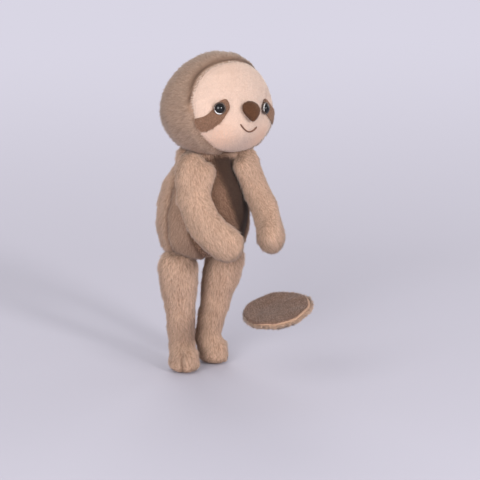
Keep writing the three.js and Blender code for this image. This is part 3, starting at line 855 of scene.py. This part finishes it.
def smooth_loop(points):
    """A closed line that runs smoothly through all its points"""
    loop = []
    for i in range(len(points)):
        before, start, end, after = (Vector(points[(i + step) % len(points)]) for step in (-1, 0, 1, 2))
        bend = interpolate_bezier(start, start + (end - before) / 6, end - (after - start) / 6, end, LOOP_STEPS + 1)
        loop.extend(bend[:-1])
    return loop


def doubled(shape, faces):
    """Copy faces, joined to the first ones by walls, and give the copy's points"""
    made = bmesh.ops.extrude_face_region(shape, geom=faces, use_keep_orig=True)["geom"]
    return [item for item in made if isinstance(item, bmesh.types.BMVert)]


def slab_from(loop):
    """A solid inside a loop of (x, z), from well before the face to the middle of the head"""
    near = -2 * HEAD_HALF.y
    shape = bmesh.new()
    face = shape.faces.new([shape.verts.new((spot[0], near, spot[1])) for spot in loop])
    bmesh.ops.translate(shape, verts=doubled(shape, [face]), vec=(0, -near, 0))
    bmesh.ops.recalc_face_normals(shape, faces=shape.faces)
    return piece_from(shape, "cutter")


def cut_from_face(name, loop):
    """A layer of cloth half in and half out of the face, kept only inside a loop"""
    shape = split_head(front=True)
    for vertex in shape.verts:
        vertex.co, _ = on_face(vertex.co.x, vertex.co.z, -PATCH_HALF_THICK)
    for vertex in doubled(shape, shape.faces[:]):
        vertex.co += on_face(vertex.co.x, vertex.co.z)[1] * (2 * PATCH_HALF_THICK)
    bmesh.ops.recalc_face_normals(shape, faces=shape.faces)
    layer = piece_from(shape, name)
    cutter = slab_from(loop)
    cut = layer.modifiers.new("cut", "BOOLEAN")
    cut.operation = "INTERSECT"
    cut.object = cutter
    settled(layer)
    bpy.data.objects.remove(cutter)
    layer.data.transform(head_place)
    return layer


def patch_loop(side, turn, aside, rise):
    """One patch's outline; real patches never sit quite alike, so each may be turned and moved a little"""
    points = [Vector((PATCH_ASIDE + PATCH_WIDTH * x + aside, PATCH_TOP - PATCH_HEIGHT * z + rise))
              for x, z in PATCH_SHARES]
    eye = Vector((EYE_SPREAD / 2, EYE_RISE))
    points = [eye + Matrix.Rotation(turn, 2) @ (point - eye) for point in points]
    return smooth_loop([(side * point.x, point.y) for point in points])


for name, side, turn, aside, rise, seed in (("right", -1, 0, 0, 0, 23),
                                            ("left", 1, math.radians(13), 7.6 * MM, -0.8 * MM, 24)):
    patch = cut_from_face(f"eye_patch_cloth_{name}", patch_loop(side, turn, aside, rise))
    paint(patch, lambda spot, side=side: head_turn @ Vector((side * 0.5, 0.3, -0.9)))
    as_cushion(patch, cloths["patch"], "head", 0.2, f"eye_patch_{name}")
    pile(f"eye_patch_velour_{name}", patch, "head", piles["patch"], seed, length=3 * MM, width=0.3 * MM,
         spread=0.8 * MM, lift=(0.25, 0.7), sway=0.6, slot="patch_velour", faces=32000,
         keep=lambda centre, normal: normal.dot(ahead) > 0.1)

# %% [markdown]
# ## Eyes
# Each eye is a moulded safety eye: a black dome in a clear collar. Light that enters the clear plastic
# leaves it on the side away from the lamp, as a bright crescent. Real clear plastic would need that
# light traced through it, so the crescent is painted on the collar, on the side away from the light.

# %% Turned pieces for the eyes
EYE_SEAT = 2.4 * MM
COLLAR_OUTLINE = ((0, -2.5), (2, -2.5), (2, 0), (5.4, 0), (5.95, 0.4), (6.1, 1), (5.9, 1.6), (5.5, 1.95), (5.1, 2),
                  (4.85, 1.8), (4.8, 1), (0, 1))
DOME_RADIUS = 4.75
DOME_HEIGHT = 3.2
DOME_FOOT = 1.3
DOME_STEPS = 12
TURN_STEPS = 48
CRESCENT_RADIUS = 5.3 * MM
CRESCENT_WIDTH = 0.45 * MM
CRESCENT_ENDS = (0.6, 0.95)


def dome_outline():
    angles = [math.pi / 2 * i / DOME_STEPS for i in range(DOME_STEPS + 1)]
    arc = [(DOME_RADIUS * math.cos(a), DOME_FOOT + DOME_HEIGHT * math.sin(a)) for a in angles]
    return [(0, DOME_FOOT - 0.2), (DOME_RADIUS, DOME_FOOT - 0.2), *arc]


def turned(name, outline, place):
    """Spin an outline of (radius, height) in millimetres about a local Z axis"""
    shape = bmesh.new()
    spots = [shape.verts.new((radius * MM, 0, height * MM)) for radius, height in outline]
    for first, second in zip(spots, spots[1:]):
        shape.edges.new((first, second))
    bmesh.ops.spin(shape, geom=shape.verts[:] + shape.edges[:], cent=(0, 0, 0), axis=(0, 0, 1),
                   angle=math.tau, steps=TURN_STEPS, use_merge=True)
    bmesh.ops.remove_doubles(shape, verts=shape.verts, dist=1e-6)
    bmesh.ops.recalc_face_normals(shape, faces=shape.faces)
    bmesh.ops.transform(shape, matrix=place, verts=shape.verts)
    for face in shape.faces:
        face.smooth = True
    return piece_from(shape, name)


def paint_crescent(piece, place, bright_side):
    """Bright on one side of the collar, given as (across, up) on the face"""
    away = Vector((bright_side[0], 0, bright_side[1])).normalized()
    away = (place.inverted().to_3x3() @ head_turn @ away).xy.normalized()
    glints = []
    for vertex in piece.data.vertices:
        out = (place.inverted() @ vertex.co).xy
        turn = out.normalized().dot(away) if out.length > 1e-6 else -1
        glints.append(smoothstep(*CRESCENT_ENDS, turn) * bell(out.length - CRESCENT_RADIUS, CRESCENT_WIDTH))
    store(piece, "glint", glints)


# %% Gloss finishes, and the eyes
def gloss_finish(name, colour, roughness, glint=None):
    finish, tree, shader = new_finish(name, roughness, specular=0.45)
    haze = linked(tree, "ShaderNodeMapRange", {0: mottle(tree, 900, 2), 3: roughness * 0.7, 4: roughness * 1.5})
    tree.links.new(haze.outputs[0], shader.inputs["Roughness"])
    shader.inputs["Base Color"].default_value = srgb(*colour)
    if glint:
        tree.links.new(mixed(tree, value_of(tree, "glint"), srgb(*colour), srgb(*glint)), shader.inputs["Base Color"])
    return finish


black_gloss = gloss_finish("black_gloss", (10, 8, 8), 0.06)
clear_collar = gloss_finish("clear_collar", (84, 70, 63), 0.22, glint=(252, 250, 248))
washer_plastic = gloss_finish("washer_plastic", (228, 228, 226), 0.45)

for name, side, bright_side in (("right", -1, (-0.35, -1)), ("left", 1, (-1, 0.25))):
    spot, facing = on_face(side * EYE_SPREAD / 2, EYE_RISE, EYE_SEAT)
    place = head_place @ Matrix.Translation(spot) @ facing.to_track_quat("Z", "Y").to_matrix().to_4x4()
    collar = turned(f"eye_collar_{name}", COLLAR_OUTLINE, place)
    dome = turned(f"eye_dome_{name}", dome_outline(), place)
    paint_crescent(collar, place, bright_side)
    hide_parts(f"eye_ring_{name}")
    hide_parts(f"eye_pupil_{name}")
    for part, finish in ((collar, clear_collar), (dome, black_gloss)):
        clad(part, finish)
        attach(part, "head")
    clad(nodes[f"eye_washer_{name}"], washer_plastic)

# %% [markdown]
# ## Nose
# The nose is a small stuffed triangle of velour with its point down. It starts as a ball, which is
# narrowed towards the point, and leans forwards there with the muzzle under it.

# %% Nose
NOSE_HALF = Vector((9.7, 7, 8.7)) * MM
NOSE_RISE = 6.5 * MM
NOSE_FORWARD = 2.4 * MM
NOSE_TAPER = 0.42
NOSE_LEAN = 0.55


def make_nose():
    shape = bmesh.new()
    bmesh.ops.create_uvsphere(shape, u_segments=40, v_segments=24, radius=1)
    for vertex in shape.verts:
        rise = vertex.co.z
        vertex.co.x *= 1 - NOSE_TAPER * (1 - rise) ** 2 / 2 + NOSE_TAPER / 4
        vertex.co.y -= NOSE_LEAN * (0.4 - rise)
    bmesh.ops.scale(shape, verts=shape.verts, vec=NOSE_HALF)
    spot, _ = on_face(0, NOSE_RISE)
    spot.y -= NOSE_FORWARD
    bmesh.ops.translate(shape, verts=shape.verts, vec=spot)
    bmesh.ops.transform(shape, matrix=head_place, verts=shape.verts)
    return piece_from(shape, "nose_cushion")


nose = make_nose()
paint(nose, lambda spot: head_turn @ Vector((0, 0.1, -1)))
as_cushion(nose, cloths["nose"], "head", 1, "nose")
pile("nose_velour", nose, "head", piles["nose"], 25, length=1.1 * MM, width=0.24 * MM, spread=0.7 * MM,
     lift=(0.5, 1.1), slot="nose_velour", faces=26000, keep=lambda centre, normal: normal.dot(ahead) > -0.1)

# %% [markdown]
# ## Mouth
# The smile is embroidered: short thread stitches, each one lying a little across the line and over
# the last.

# %% Stitches along the smile
MOUTH_WIDTH = 19.2 * MM
MOUTH_RISE = -8.2 * MM
MOUTH_DEPTH = 5.5 * MM
MOUTH_SLANT = 0.14
MOUTH_LIFT = 0.8 * MM
STITCH_LENGTH = 2.4 * MM
STITCH_WIDTH = 1.5 * MM
STITCHES = 26
STITCH_TURN = math.radians(16)


def smile(share):
    x = share * MOUTH_WIDTH / 2
    return on_face(x, MOUTH_RISE - MOUTH_SLANT * x - MOUTH_DEPTH * (1 - share ** 2), MOUTH_LIFT)


def make_mouth():
    shape = bmesh.new()
    size = Matrix.Diagonal((STITCH_LENGTH / 2, STITCH_WIDTH / 2, STITCH_WIDTH / 2, 1))
    for i in range(STITCHES):
        share = 2 * (i + 0.5) / STITCHES - 1
        spot, outward = smile(share)
        along = (smile(share + 0.01)[0] - smile(share - 0.01)[0]).normalized()
        side = outward.cross(along).normalized()
        lean = (along * math.cos(STITCH_TURN) + side * math.sin(STITCH_TURN)).normalized()
        axes = Matrix((lean, outward.cross(lean), outward)).transposed().to_4x4()
        bmesh.ops.create_uvsphere(shape, u_segments=10, v_segments=6, radius=1,
                                  matrix=head_place @ Matrix.Translation(spot) @ axes @ size)
    for item in shape.faces:
        item.smooth = True
    return piece_from(shape, "mouth_thread")


thread_finish, thread_tree, thread_shader = new_finish("mouth_thread", 0.45, 0.3)
thread_tree.links.new(mixed(thread_tree, mottle(thread_tree, 1500, 2), srgb(84, 50, 35), srgb(124, 82, 60)),
                      thread_shader.inputs["Base Color"])
mouth = make_mouth()
clad(mouth, thread_finish)
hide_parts("mouth_stitch")
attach(mouth, "head")

# %% [markdown]
# ## Torso
# The torso is a pear. Its front is a separate panel of brown velour, so the bag is cut twice with the
# same upright oval: once to take the panel's place out of the fur, and once to keep only the panel.

# %% Torso bag, and the belly panel's oval
TORSO_MIDDLE = at(0, 0, 164.5)
BELLY_MIDDLE = at(0, 0, 169.5)
BELLY_HALF = (37 * MM, 54 * MM)
FLANK_SEAM_FRONT = 4.5 * MM
SEAT_TUCK = 9 * MM
SEAT_WIDTH = 17 * MM
SHOULDER_FILL = 7 * MM
NECK_HOLE = 12 * MM
FUR_TOP = 226.5 * MM


def belly_reach(spot):
    return math.hypot((spot.x - BELLY_MIDDLE.x) / BELLY_HALF[0], (spot.z - BELLY_MIDDLE.z) / BELLY_HALF[1])


def in_belly(spot):
    return spot.y < TORSO_MIDDLE.y and belly_reach(spot) < 1


def flank_crease(spot):
    """The side seams, which run down beside the arms"""
    behind = spot.y - TORSO_MIDDLE.y + FLANK_SEAM_FRONT
    wander = 2 * MM * noise.noise(Vector((0, 0, spot.z / (14 * MM))))
    return bell(behind + wander, 3 * MM)


def belly_crease(spot):
    return bell((belly_reach(spot) - 1) * BELLY_HALF[0], 2.5 * MM) if spot.y < TORSO_MIDDLE.y else 0


def shade_beside_arms(spot):
    """Painted shade: in front of the side seams, beside the arms, the pile is darkened in its colour"""
    before_seam = TORSO_MIDDLE.y - FLANK_SEAM_FRONT - spot.y
    return 0.42 * smoothstep(0, 4 * MM, before_seam) * (1 - smoothstep(195 * MM, 215 * MM, spot.z))


def drawn_up(piece):
    """The seat is drawn up between the legs, and the shoulders are filled up to the neck"""
    for vertex in piece.data.vertices:
        aside, high = vertex.co.x - TORSO_MIDDLE.x, vertex.co.z
        vertex.co.z += SEAT_TUCK * bell(aside, SEAT_WIDTH) * (1 - smoothstep(105 * MM, 145 * MM, high))
        out = Vector((aside, vertex.co.y - TORSO_MIDDLE.y, 0))
        if out.length > NECK_HOLE:
            vertex.co += out.normalized() * (SHOULDER_FILL * smoothstep(208 * MM, 226 * MM, high))


torso = stuffed_form("torso", ["torso_fur", "belly_panel", "torso_stuffing", "pellet_bag"], 3.2 * MM,
                     lambda spot: 0.7 * MM)
drawn_up(torso)
pulled_in(torso, lambda spot: max(flank_crease(spot), 0.5 * belly_crease(spot)), 2.6 * MM)
lumpy(torso, 1.1 * MM, 14 * MM)
# The crease value darkens the pile: the side and belly seams for their thread and as painted shade, and painted shade
# beside the arms
paint(torso, lambda spot: (0, 0.12, -1), lambda spot: max(flank_crease(spot), belly_crease(spot), shade_beside_arms(spot)))
as_cushion(torso, cloths["tan"], "torso", 0.8, "torso_fur", "torso_stuffing", "pellet_bag")
for title, side, seed in (("torso_fur_right", -1, 31), ("torso_fur_left", 1, 32)):
    pile(title, torso, "torso", piles["tan"], seed, length=6.5 * MM,
         keep=lambda centre, normal, side=side: side * (centre.x - TORSO_MIDDLE.x) >= 0 and not in_belly(centre)
         and centre.z < FUR_TOP)

# %% Belly panel
BELLY_LIFT = 0.4 * MM
# A slanting line on the belly; on the toy's left of it the velour is given painted shade
SHADE_LINE_POINT = at(1, 0, 191)
SHADE_LINE_SLANT = 0.33


def make_belly(source):
    shape = bmesh.new()
    shape.from_mesh(source.data)
    spare = [face for face in shape.faces if not in_belly(face.calc_center_median())]
    bmesh.ops.delete(shape, geom=spare, context="FACES")
    for vertex in shape.verts:
        vertex.co += vertex.normal * BELLY_LIFT
    return piece_from(shape, "belly")


def shade_beside_far_arm(spot):
    """Painted shade: the velour is darkened on the toy's left of a slanting line, where the belly lies in shade
    beside the far arm
    """
    line = SHADE_LINE_POINT.x + (SHADE_LINE_POINT.z - spot.z) * SHADE_LINE_SLANT
    return smoothstep(-5 * MM, 5 * MM, spot.x - line + 2 * MM * noise.noise(spot / (9 * MM)))


belly = make_belly(torso)
thick = belly.modifiers.new("thickness", "SOLIDIFY")
thick.thickness = 1.4 * MM
thick.offset = -1
settled(belly)
# The belly's crease value is painted shade beside the far arm
paint(belly, lambda spot: (0.3, 0.1, -1), shade_beside_far_arm)
as_cushion(belly, cloths["velour"], "torso", 0.7, "belly_panel")
pile("belly_velour", belly, "torso", piles["velour"], 33, length=1.7 * MM, width=0.3 * MM, spread=0.9 * MM,
     lift=(0.4, 0.9), slot="brown_velour", faces=90000,
     keep=lambda centre, normal: normal.y < 0.1 and belly_reach(centre) < 0.99)


# %% [markdown]
# ## Arms and legs
# Each limb is a sleeve with a round root that sits in a hollow of the torso, so it can swing without
# tearing the fur. The nap runs to the hands and feet. The feet have a toe cleft sewn into the front.

# %% What arms and legs share
LIMB_CELL = 2.8 * MM
LIMB_INSET = 2.4 * MM


def limb_form(limb, name, inset_share):
    return stuffed_form(f"{limb}_{name}", [f"{limb}_fur_{name}", f"{limb}_stuffing_{name}"], LIMB_CELL,
                        lambda spot: LIMB_INSET * inset_share(spot))


def finish_limb(piece, limb, name, seed, **sowing):
    body = f"{limb}_{name}"
    as_cushion(piece, cloths["tan"], body, 0.8, f"{limb}_fur_{name}", f"{limb}_stuffing_{name}")
    pile(f"{body}_fur", piece, body, piles["tan"], seed, **sowing)


# %% Arms
ARM_TOP = 210 * MM
SLEEVE_RISE = 5 * MM


def arm_comb(spot):
    """Down at the shoulder, and more and more forwards towards the hand"""
    return 0, -0.3 - 0.75 * smoothstep(0, 80 * MM, ARM_TOP - spot.z), -1


def filled_to_neck(arm, root):
    """The top of the sleeve is stuffed up to the head, less in front, where it swings up"""
    for vertex in arm.data.vertices:
        behind_front = smoothstep(-14 * MM, -2 * MM, vertex.co.y - root.y)
        vertex.co.z += SLEEVE_RISE * behind_front * smoothstep(198 * MM, 220 * MM, vertex.co.z)


for name, seed in (("right", 41), ("left", 42)):
    arm = limb_form("arm", name, lambda spot: 1 - smoothstep(190 * MM, 215 * MM, spot.z))
    filled_to_neck(arm, place_of(frame["joints"], f"shoulder_{name}"))
    lumpy(arm, 1 * MM, 13 * MM)
    paint(arm, arm_comb)
    finish_limb(arm, "arm", name, seed)

# %% Legs
TOE_DEPTH = 1.2 * MM
TOE_WIDTH = 1.7 * MM
TOE_SHADE = 0.42
TOES_OUT = math.radians(40)
LEAST_HEIGHT = 0.3 * MM


def toe_crease(foot, turn):
    """A cleft up the middle of the front of a foot, which is turned out a little"""
    def crease(spot):
        away = spot - foot
        forward = away.x * math.sin(turn) - away.y * math.cos(turn)
        aside = away.x * math.cos(turn) + away.y * math.sin(turn)
        return (bell(aside, TOE_WIDTH) * smoothstep(5 * MM, 11 * MM, forward)
                * (1 - smoothstep(20 * MM, 28 * MM, spot.z)))
    return crease


def leg_nap(foot):
    """Down the leg, and outwards along the sole's edge, so that no strand reaches through the floor"""
    def comb(spot):
        away = Vector((spot.x - foot.x, spot.y - foot.y, 0)).normalized()
        return away * (1 - smoothstep(6 * MM, 26 * MM, spot.z)) + Vector((0, 0, -smoothstep(3 * MM, 22 * MM, spot.z)))
    return comb


for name, side, seed in (("right", -1, 51), ("left", 1, 52)):
    sole = place_of(frame["record"]["mounts"], f"{name}_sole")
    cleft = toe_crease(sole, side * TOES_OUT)
    leg = limb_form("leg", name, lambda spot: smoothstep(2 * MM, 18 * MM, spot.z)
                    * (1 - smoothstep(60 * MM, 95 * MM, spot.z)))
    pulled_in(leg, cleft, TOE_DEPTH)
    lumpy(leg, 1 * MM, 13 * MM)
    for vertex in leg.data.vertices:
        vertex.co.z = max(vertex.co.z, LEAST_HEIGHT)
    paint(leg, leg_nap(sole), lambda spot, cleft=cleft: TOE_SHADE * cleft(spot),
          lambda spot: 0.45 + 0.55 * smoothstep(4 * MM, 22 * MM, spot.z))
    finish_limb(leg, "leg", name, seed, keep=lambda centre, normal: centre.z > 3 * MM)

# %% [markdown]
# ## Loose pad
# The round pad has fur on its back and rim, and a lining of short velour on its upper face. Both are
# turned: an outline is spun about the pad's axis. The pad is a shallow dish, a little thinner at its
# rim, and unevenly filled.

# %% The pad's outline
PAD_PLACE = (Matrix.Translation(at(-15.5, -151, 93)) @ Matrix.Rotation(math.radians(1.8), 4, "X")
             @ Matrix.Rotation(math.radians(-14.7), 4, "Y"))
PAD_RADIUS = 33.5
PAD_DISH = 4
PAD_HALF = 5
PAD_PILE_DEPTH = 1.6
PAD_STEPS = 20
LINING_SHARE = 0.92
LINING_SHIFT = Vector((-1, 1.5, 0)) * MM
LINING_LIFT = 0.7
LINING_THICK = 1.6
LINING_STEPS = 16


def pad_level(share, up):
    return PAD_DISH * share ** 2 + up * (PAD_HALF - PAD_PILE_DEPTH / 2) * math.sqrt(max(0, 1 - share ** 4))


def pad_outline():
    """From the middle of the back, round the rim, to the middle of the upper face"""
    shares = [math.sin(math.pi / 2 * i / PAD_STEPS) for i in range(PAD_STEPS + 1)]
    back, front = ([((PAD_RADIUS - PAD_PILE_DEPTH) * share, pad_level(share, up)) for share in shares]
                   for up in (-1, 1))
    return back + front[-2::-1]


def lining_outline():
    shares = [LINING_SHARE * math.sin(math.pi / 2 * i / LINING_STEPS) for i in range(LINING_STEPS + 1)]
    top = [(PAD_RADIUS * share, pad_level(share, 1) + LINING_LIFT) for share in shares]
    edge = (PAD_RADIUS * LINING_SHARE + 0.5, pad_level(LINING_SHARE, 1) + LINING_LIFT - LINING_THICK / 2)
    under = [(radius, height - LINING_THICK) for radius, height in reversed(top)]
    return top + [edge] + under


# %% Pad and its lining
pad_turn = PAD_PLACE.to_3x3()
pad_up = pad_turn @ Vector((0, 0, 1))


def wavy(spot):
    return 1.3 * MM * noise.noise(spot / (19 * MM)) + 0.5 * MM * noise.noise(spot / (7 * MM))


def uneven(piece):
    """Both pad pieces are moved by the same field, so that they stay together"""
    for vertex in piece.data.vertices:
        vertex.co += pad_up * wavy(Vector((vertex.co.x, vertex.co.y, 0)))


def pad_comb(spot):
    """Out to the rim, and down"""
    local = PAD_PLACE.inverted() @ spot
    return pad_turn @ Vector((local.x, local.y, -8 * MM)).normalized()


pad = turned("pad_bag", pad_outline(), PAD_PLACE)
lining = turned("pad_lining", lining_outline(), PAD_PLACE @ Matrix.Translation(LINING_SHIFT))
for piece in (pad, lining):
    subdivided(piece)
    uneven(piece)
paint(pad, pad_comb)
paint(lining, lambda spot: pad_turn @ Vector((0.6, 0.8, 0)))
as_cushion(pad, cloths["tan"], "pad", 0.6, "pad_fur_back", "pad_filling")
as_cushion(lining, cloths["lining"], "pad", 0.6, "pad_velour_face")
pile("pad_fur", pad, "pad", piles["tan"], 61, length=4.6 * MM, spread=1.1 * MM, faces=130000, lift=(0.25, 0.7),
     keep=lambda centre, normal: normal.dot(pad_up) < 0.35)
pile("pad_velour", lining, "pad", piles["lining"], 62, length=2.2 * MM, width=0.3 * MM, spread=0.9 * MM,
     lift=(0.3, 0.8), slot="brown_velour", faces=60000, keep=lambda centre, normal: normal.dot(pad_up) > 0)

# %% [markdown]
# ## Floor and light
# The toy stands on a pale lilac sweep that gets a little paler with distance. A small soft lamp in
# front makes the glint in the eyes, a broad one on the toy's right gives the shapes their shade, and
# two weak ones keep the back and the far side from going dark.

# %% Floor
FLOOR_NEAR = srgb(184, 181, 192)
FLOOR_FAR = srgb(217, 214, 228)
FLOOR_FADE = (0.5, 1.9)


def camera_ray(tree):
    return linked(tree, "ShaderNodeLightPath").outputs["Is Camera Ray"]


def make_floor():
    shape = bmesh.new()
    bmesh.ops.create_grid(shape, x_segments=2, y_segments=2, size=6)
    floor = piece_from(shape, "floor")
    finish, tree, shader = new_finish("paper", 0.9)
    shader.inputs["Base Color"].default_value = FLOOR_NEAR
    spot = linked(tree, "ShaderNodeTexCoord").outputs["Object"]
    away = linked(tree, "ShaderNodeVectorMath", {0: spot}, operation="LENGTH").outputs["Value"]
    fade = linked(tree, "ShaderNodeMapRange", {0: away, 1: FLOOR_FADE[0], 2: FLOOR_FADE[1]}).outputs[0]
    fade = maths(tree, "MULTIPLY", fade, camera_ray(tree))
    glow = linked(tree, "ShaderNodeEmission", {"Color": FLOOR_FAR, "Strength": 1})
    blend = linked(tree, "ShaderNodeMixShader", {0: fade, 1: shader.outputs[0], 2: glow.outputs[0]})
    tree.links.new(blend.outputs[0], tree.nodes["Material Output"].inputs["Surface"])
    clad(floor, finish)


make_floor()

# %% Light
LAMP_AIM = Vector((0, 0, 0.2))
LAMPS = (
    # name, place, size, power
    ("front", (0.1, -2.15, 0.95), 0.42, 29),
    ("side", (-2.1, -1.4, 1.2), 1.8, 55),
    ("back", (1.2, 2.4, 1.5), 2.2, 34),
    ("far side", (2.6, 0.2, 1.0), 2.0, 13),
)
for name, place, size, power in LAMPS:
    lamp = bpy.data.lights.new(name, "AREA")
    lamp.shape = "DISK"
    lamp.size = size
    lamp.energy = power
    holder = object_of(lamp, name)
    holder.location = place
    holder.rotation_euler = (Vector(place) - LAMP_AIM).to_track_quat("Z", "Y").to_euler()

world = bpy.data.worlds.new("room")
scene.world = world
world.use_nodes = True
sky = world.node_tree
sky.nodes.clear()
ambient = linked(sky, "ShaderNodeBackground", {"Color": (0.98, 0.97, 1, 1), "Strength": 0.58})
shown = linked(sky, "ShaderNodeBackground", {"Color": srgb(222, 219, 232), "Strength": 1})
blend = linked(sky, "ShaderNodeMixShader", {0: camera_ray(sky), 1: ambient.outputs[0], 2: shown.outputs[0]})
sky.links.new(blend.outputs[0], linked(sky, "ShaderNodeOutputWorld").inputs[0])
scene.view_settings.view_transform = "Standard"
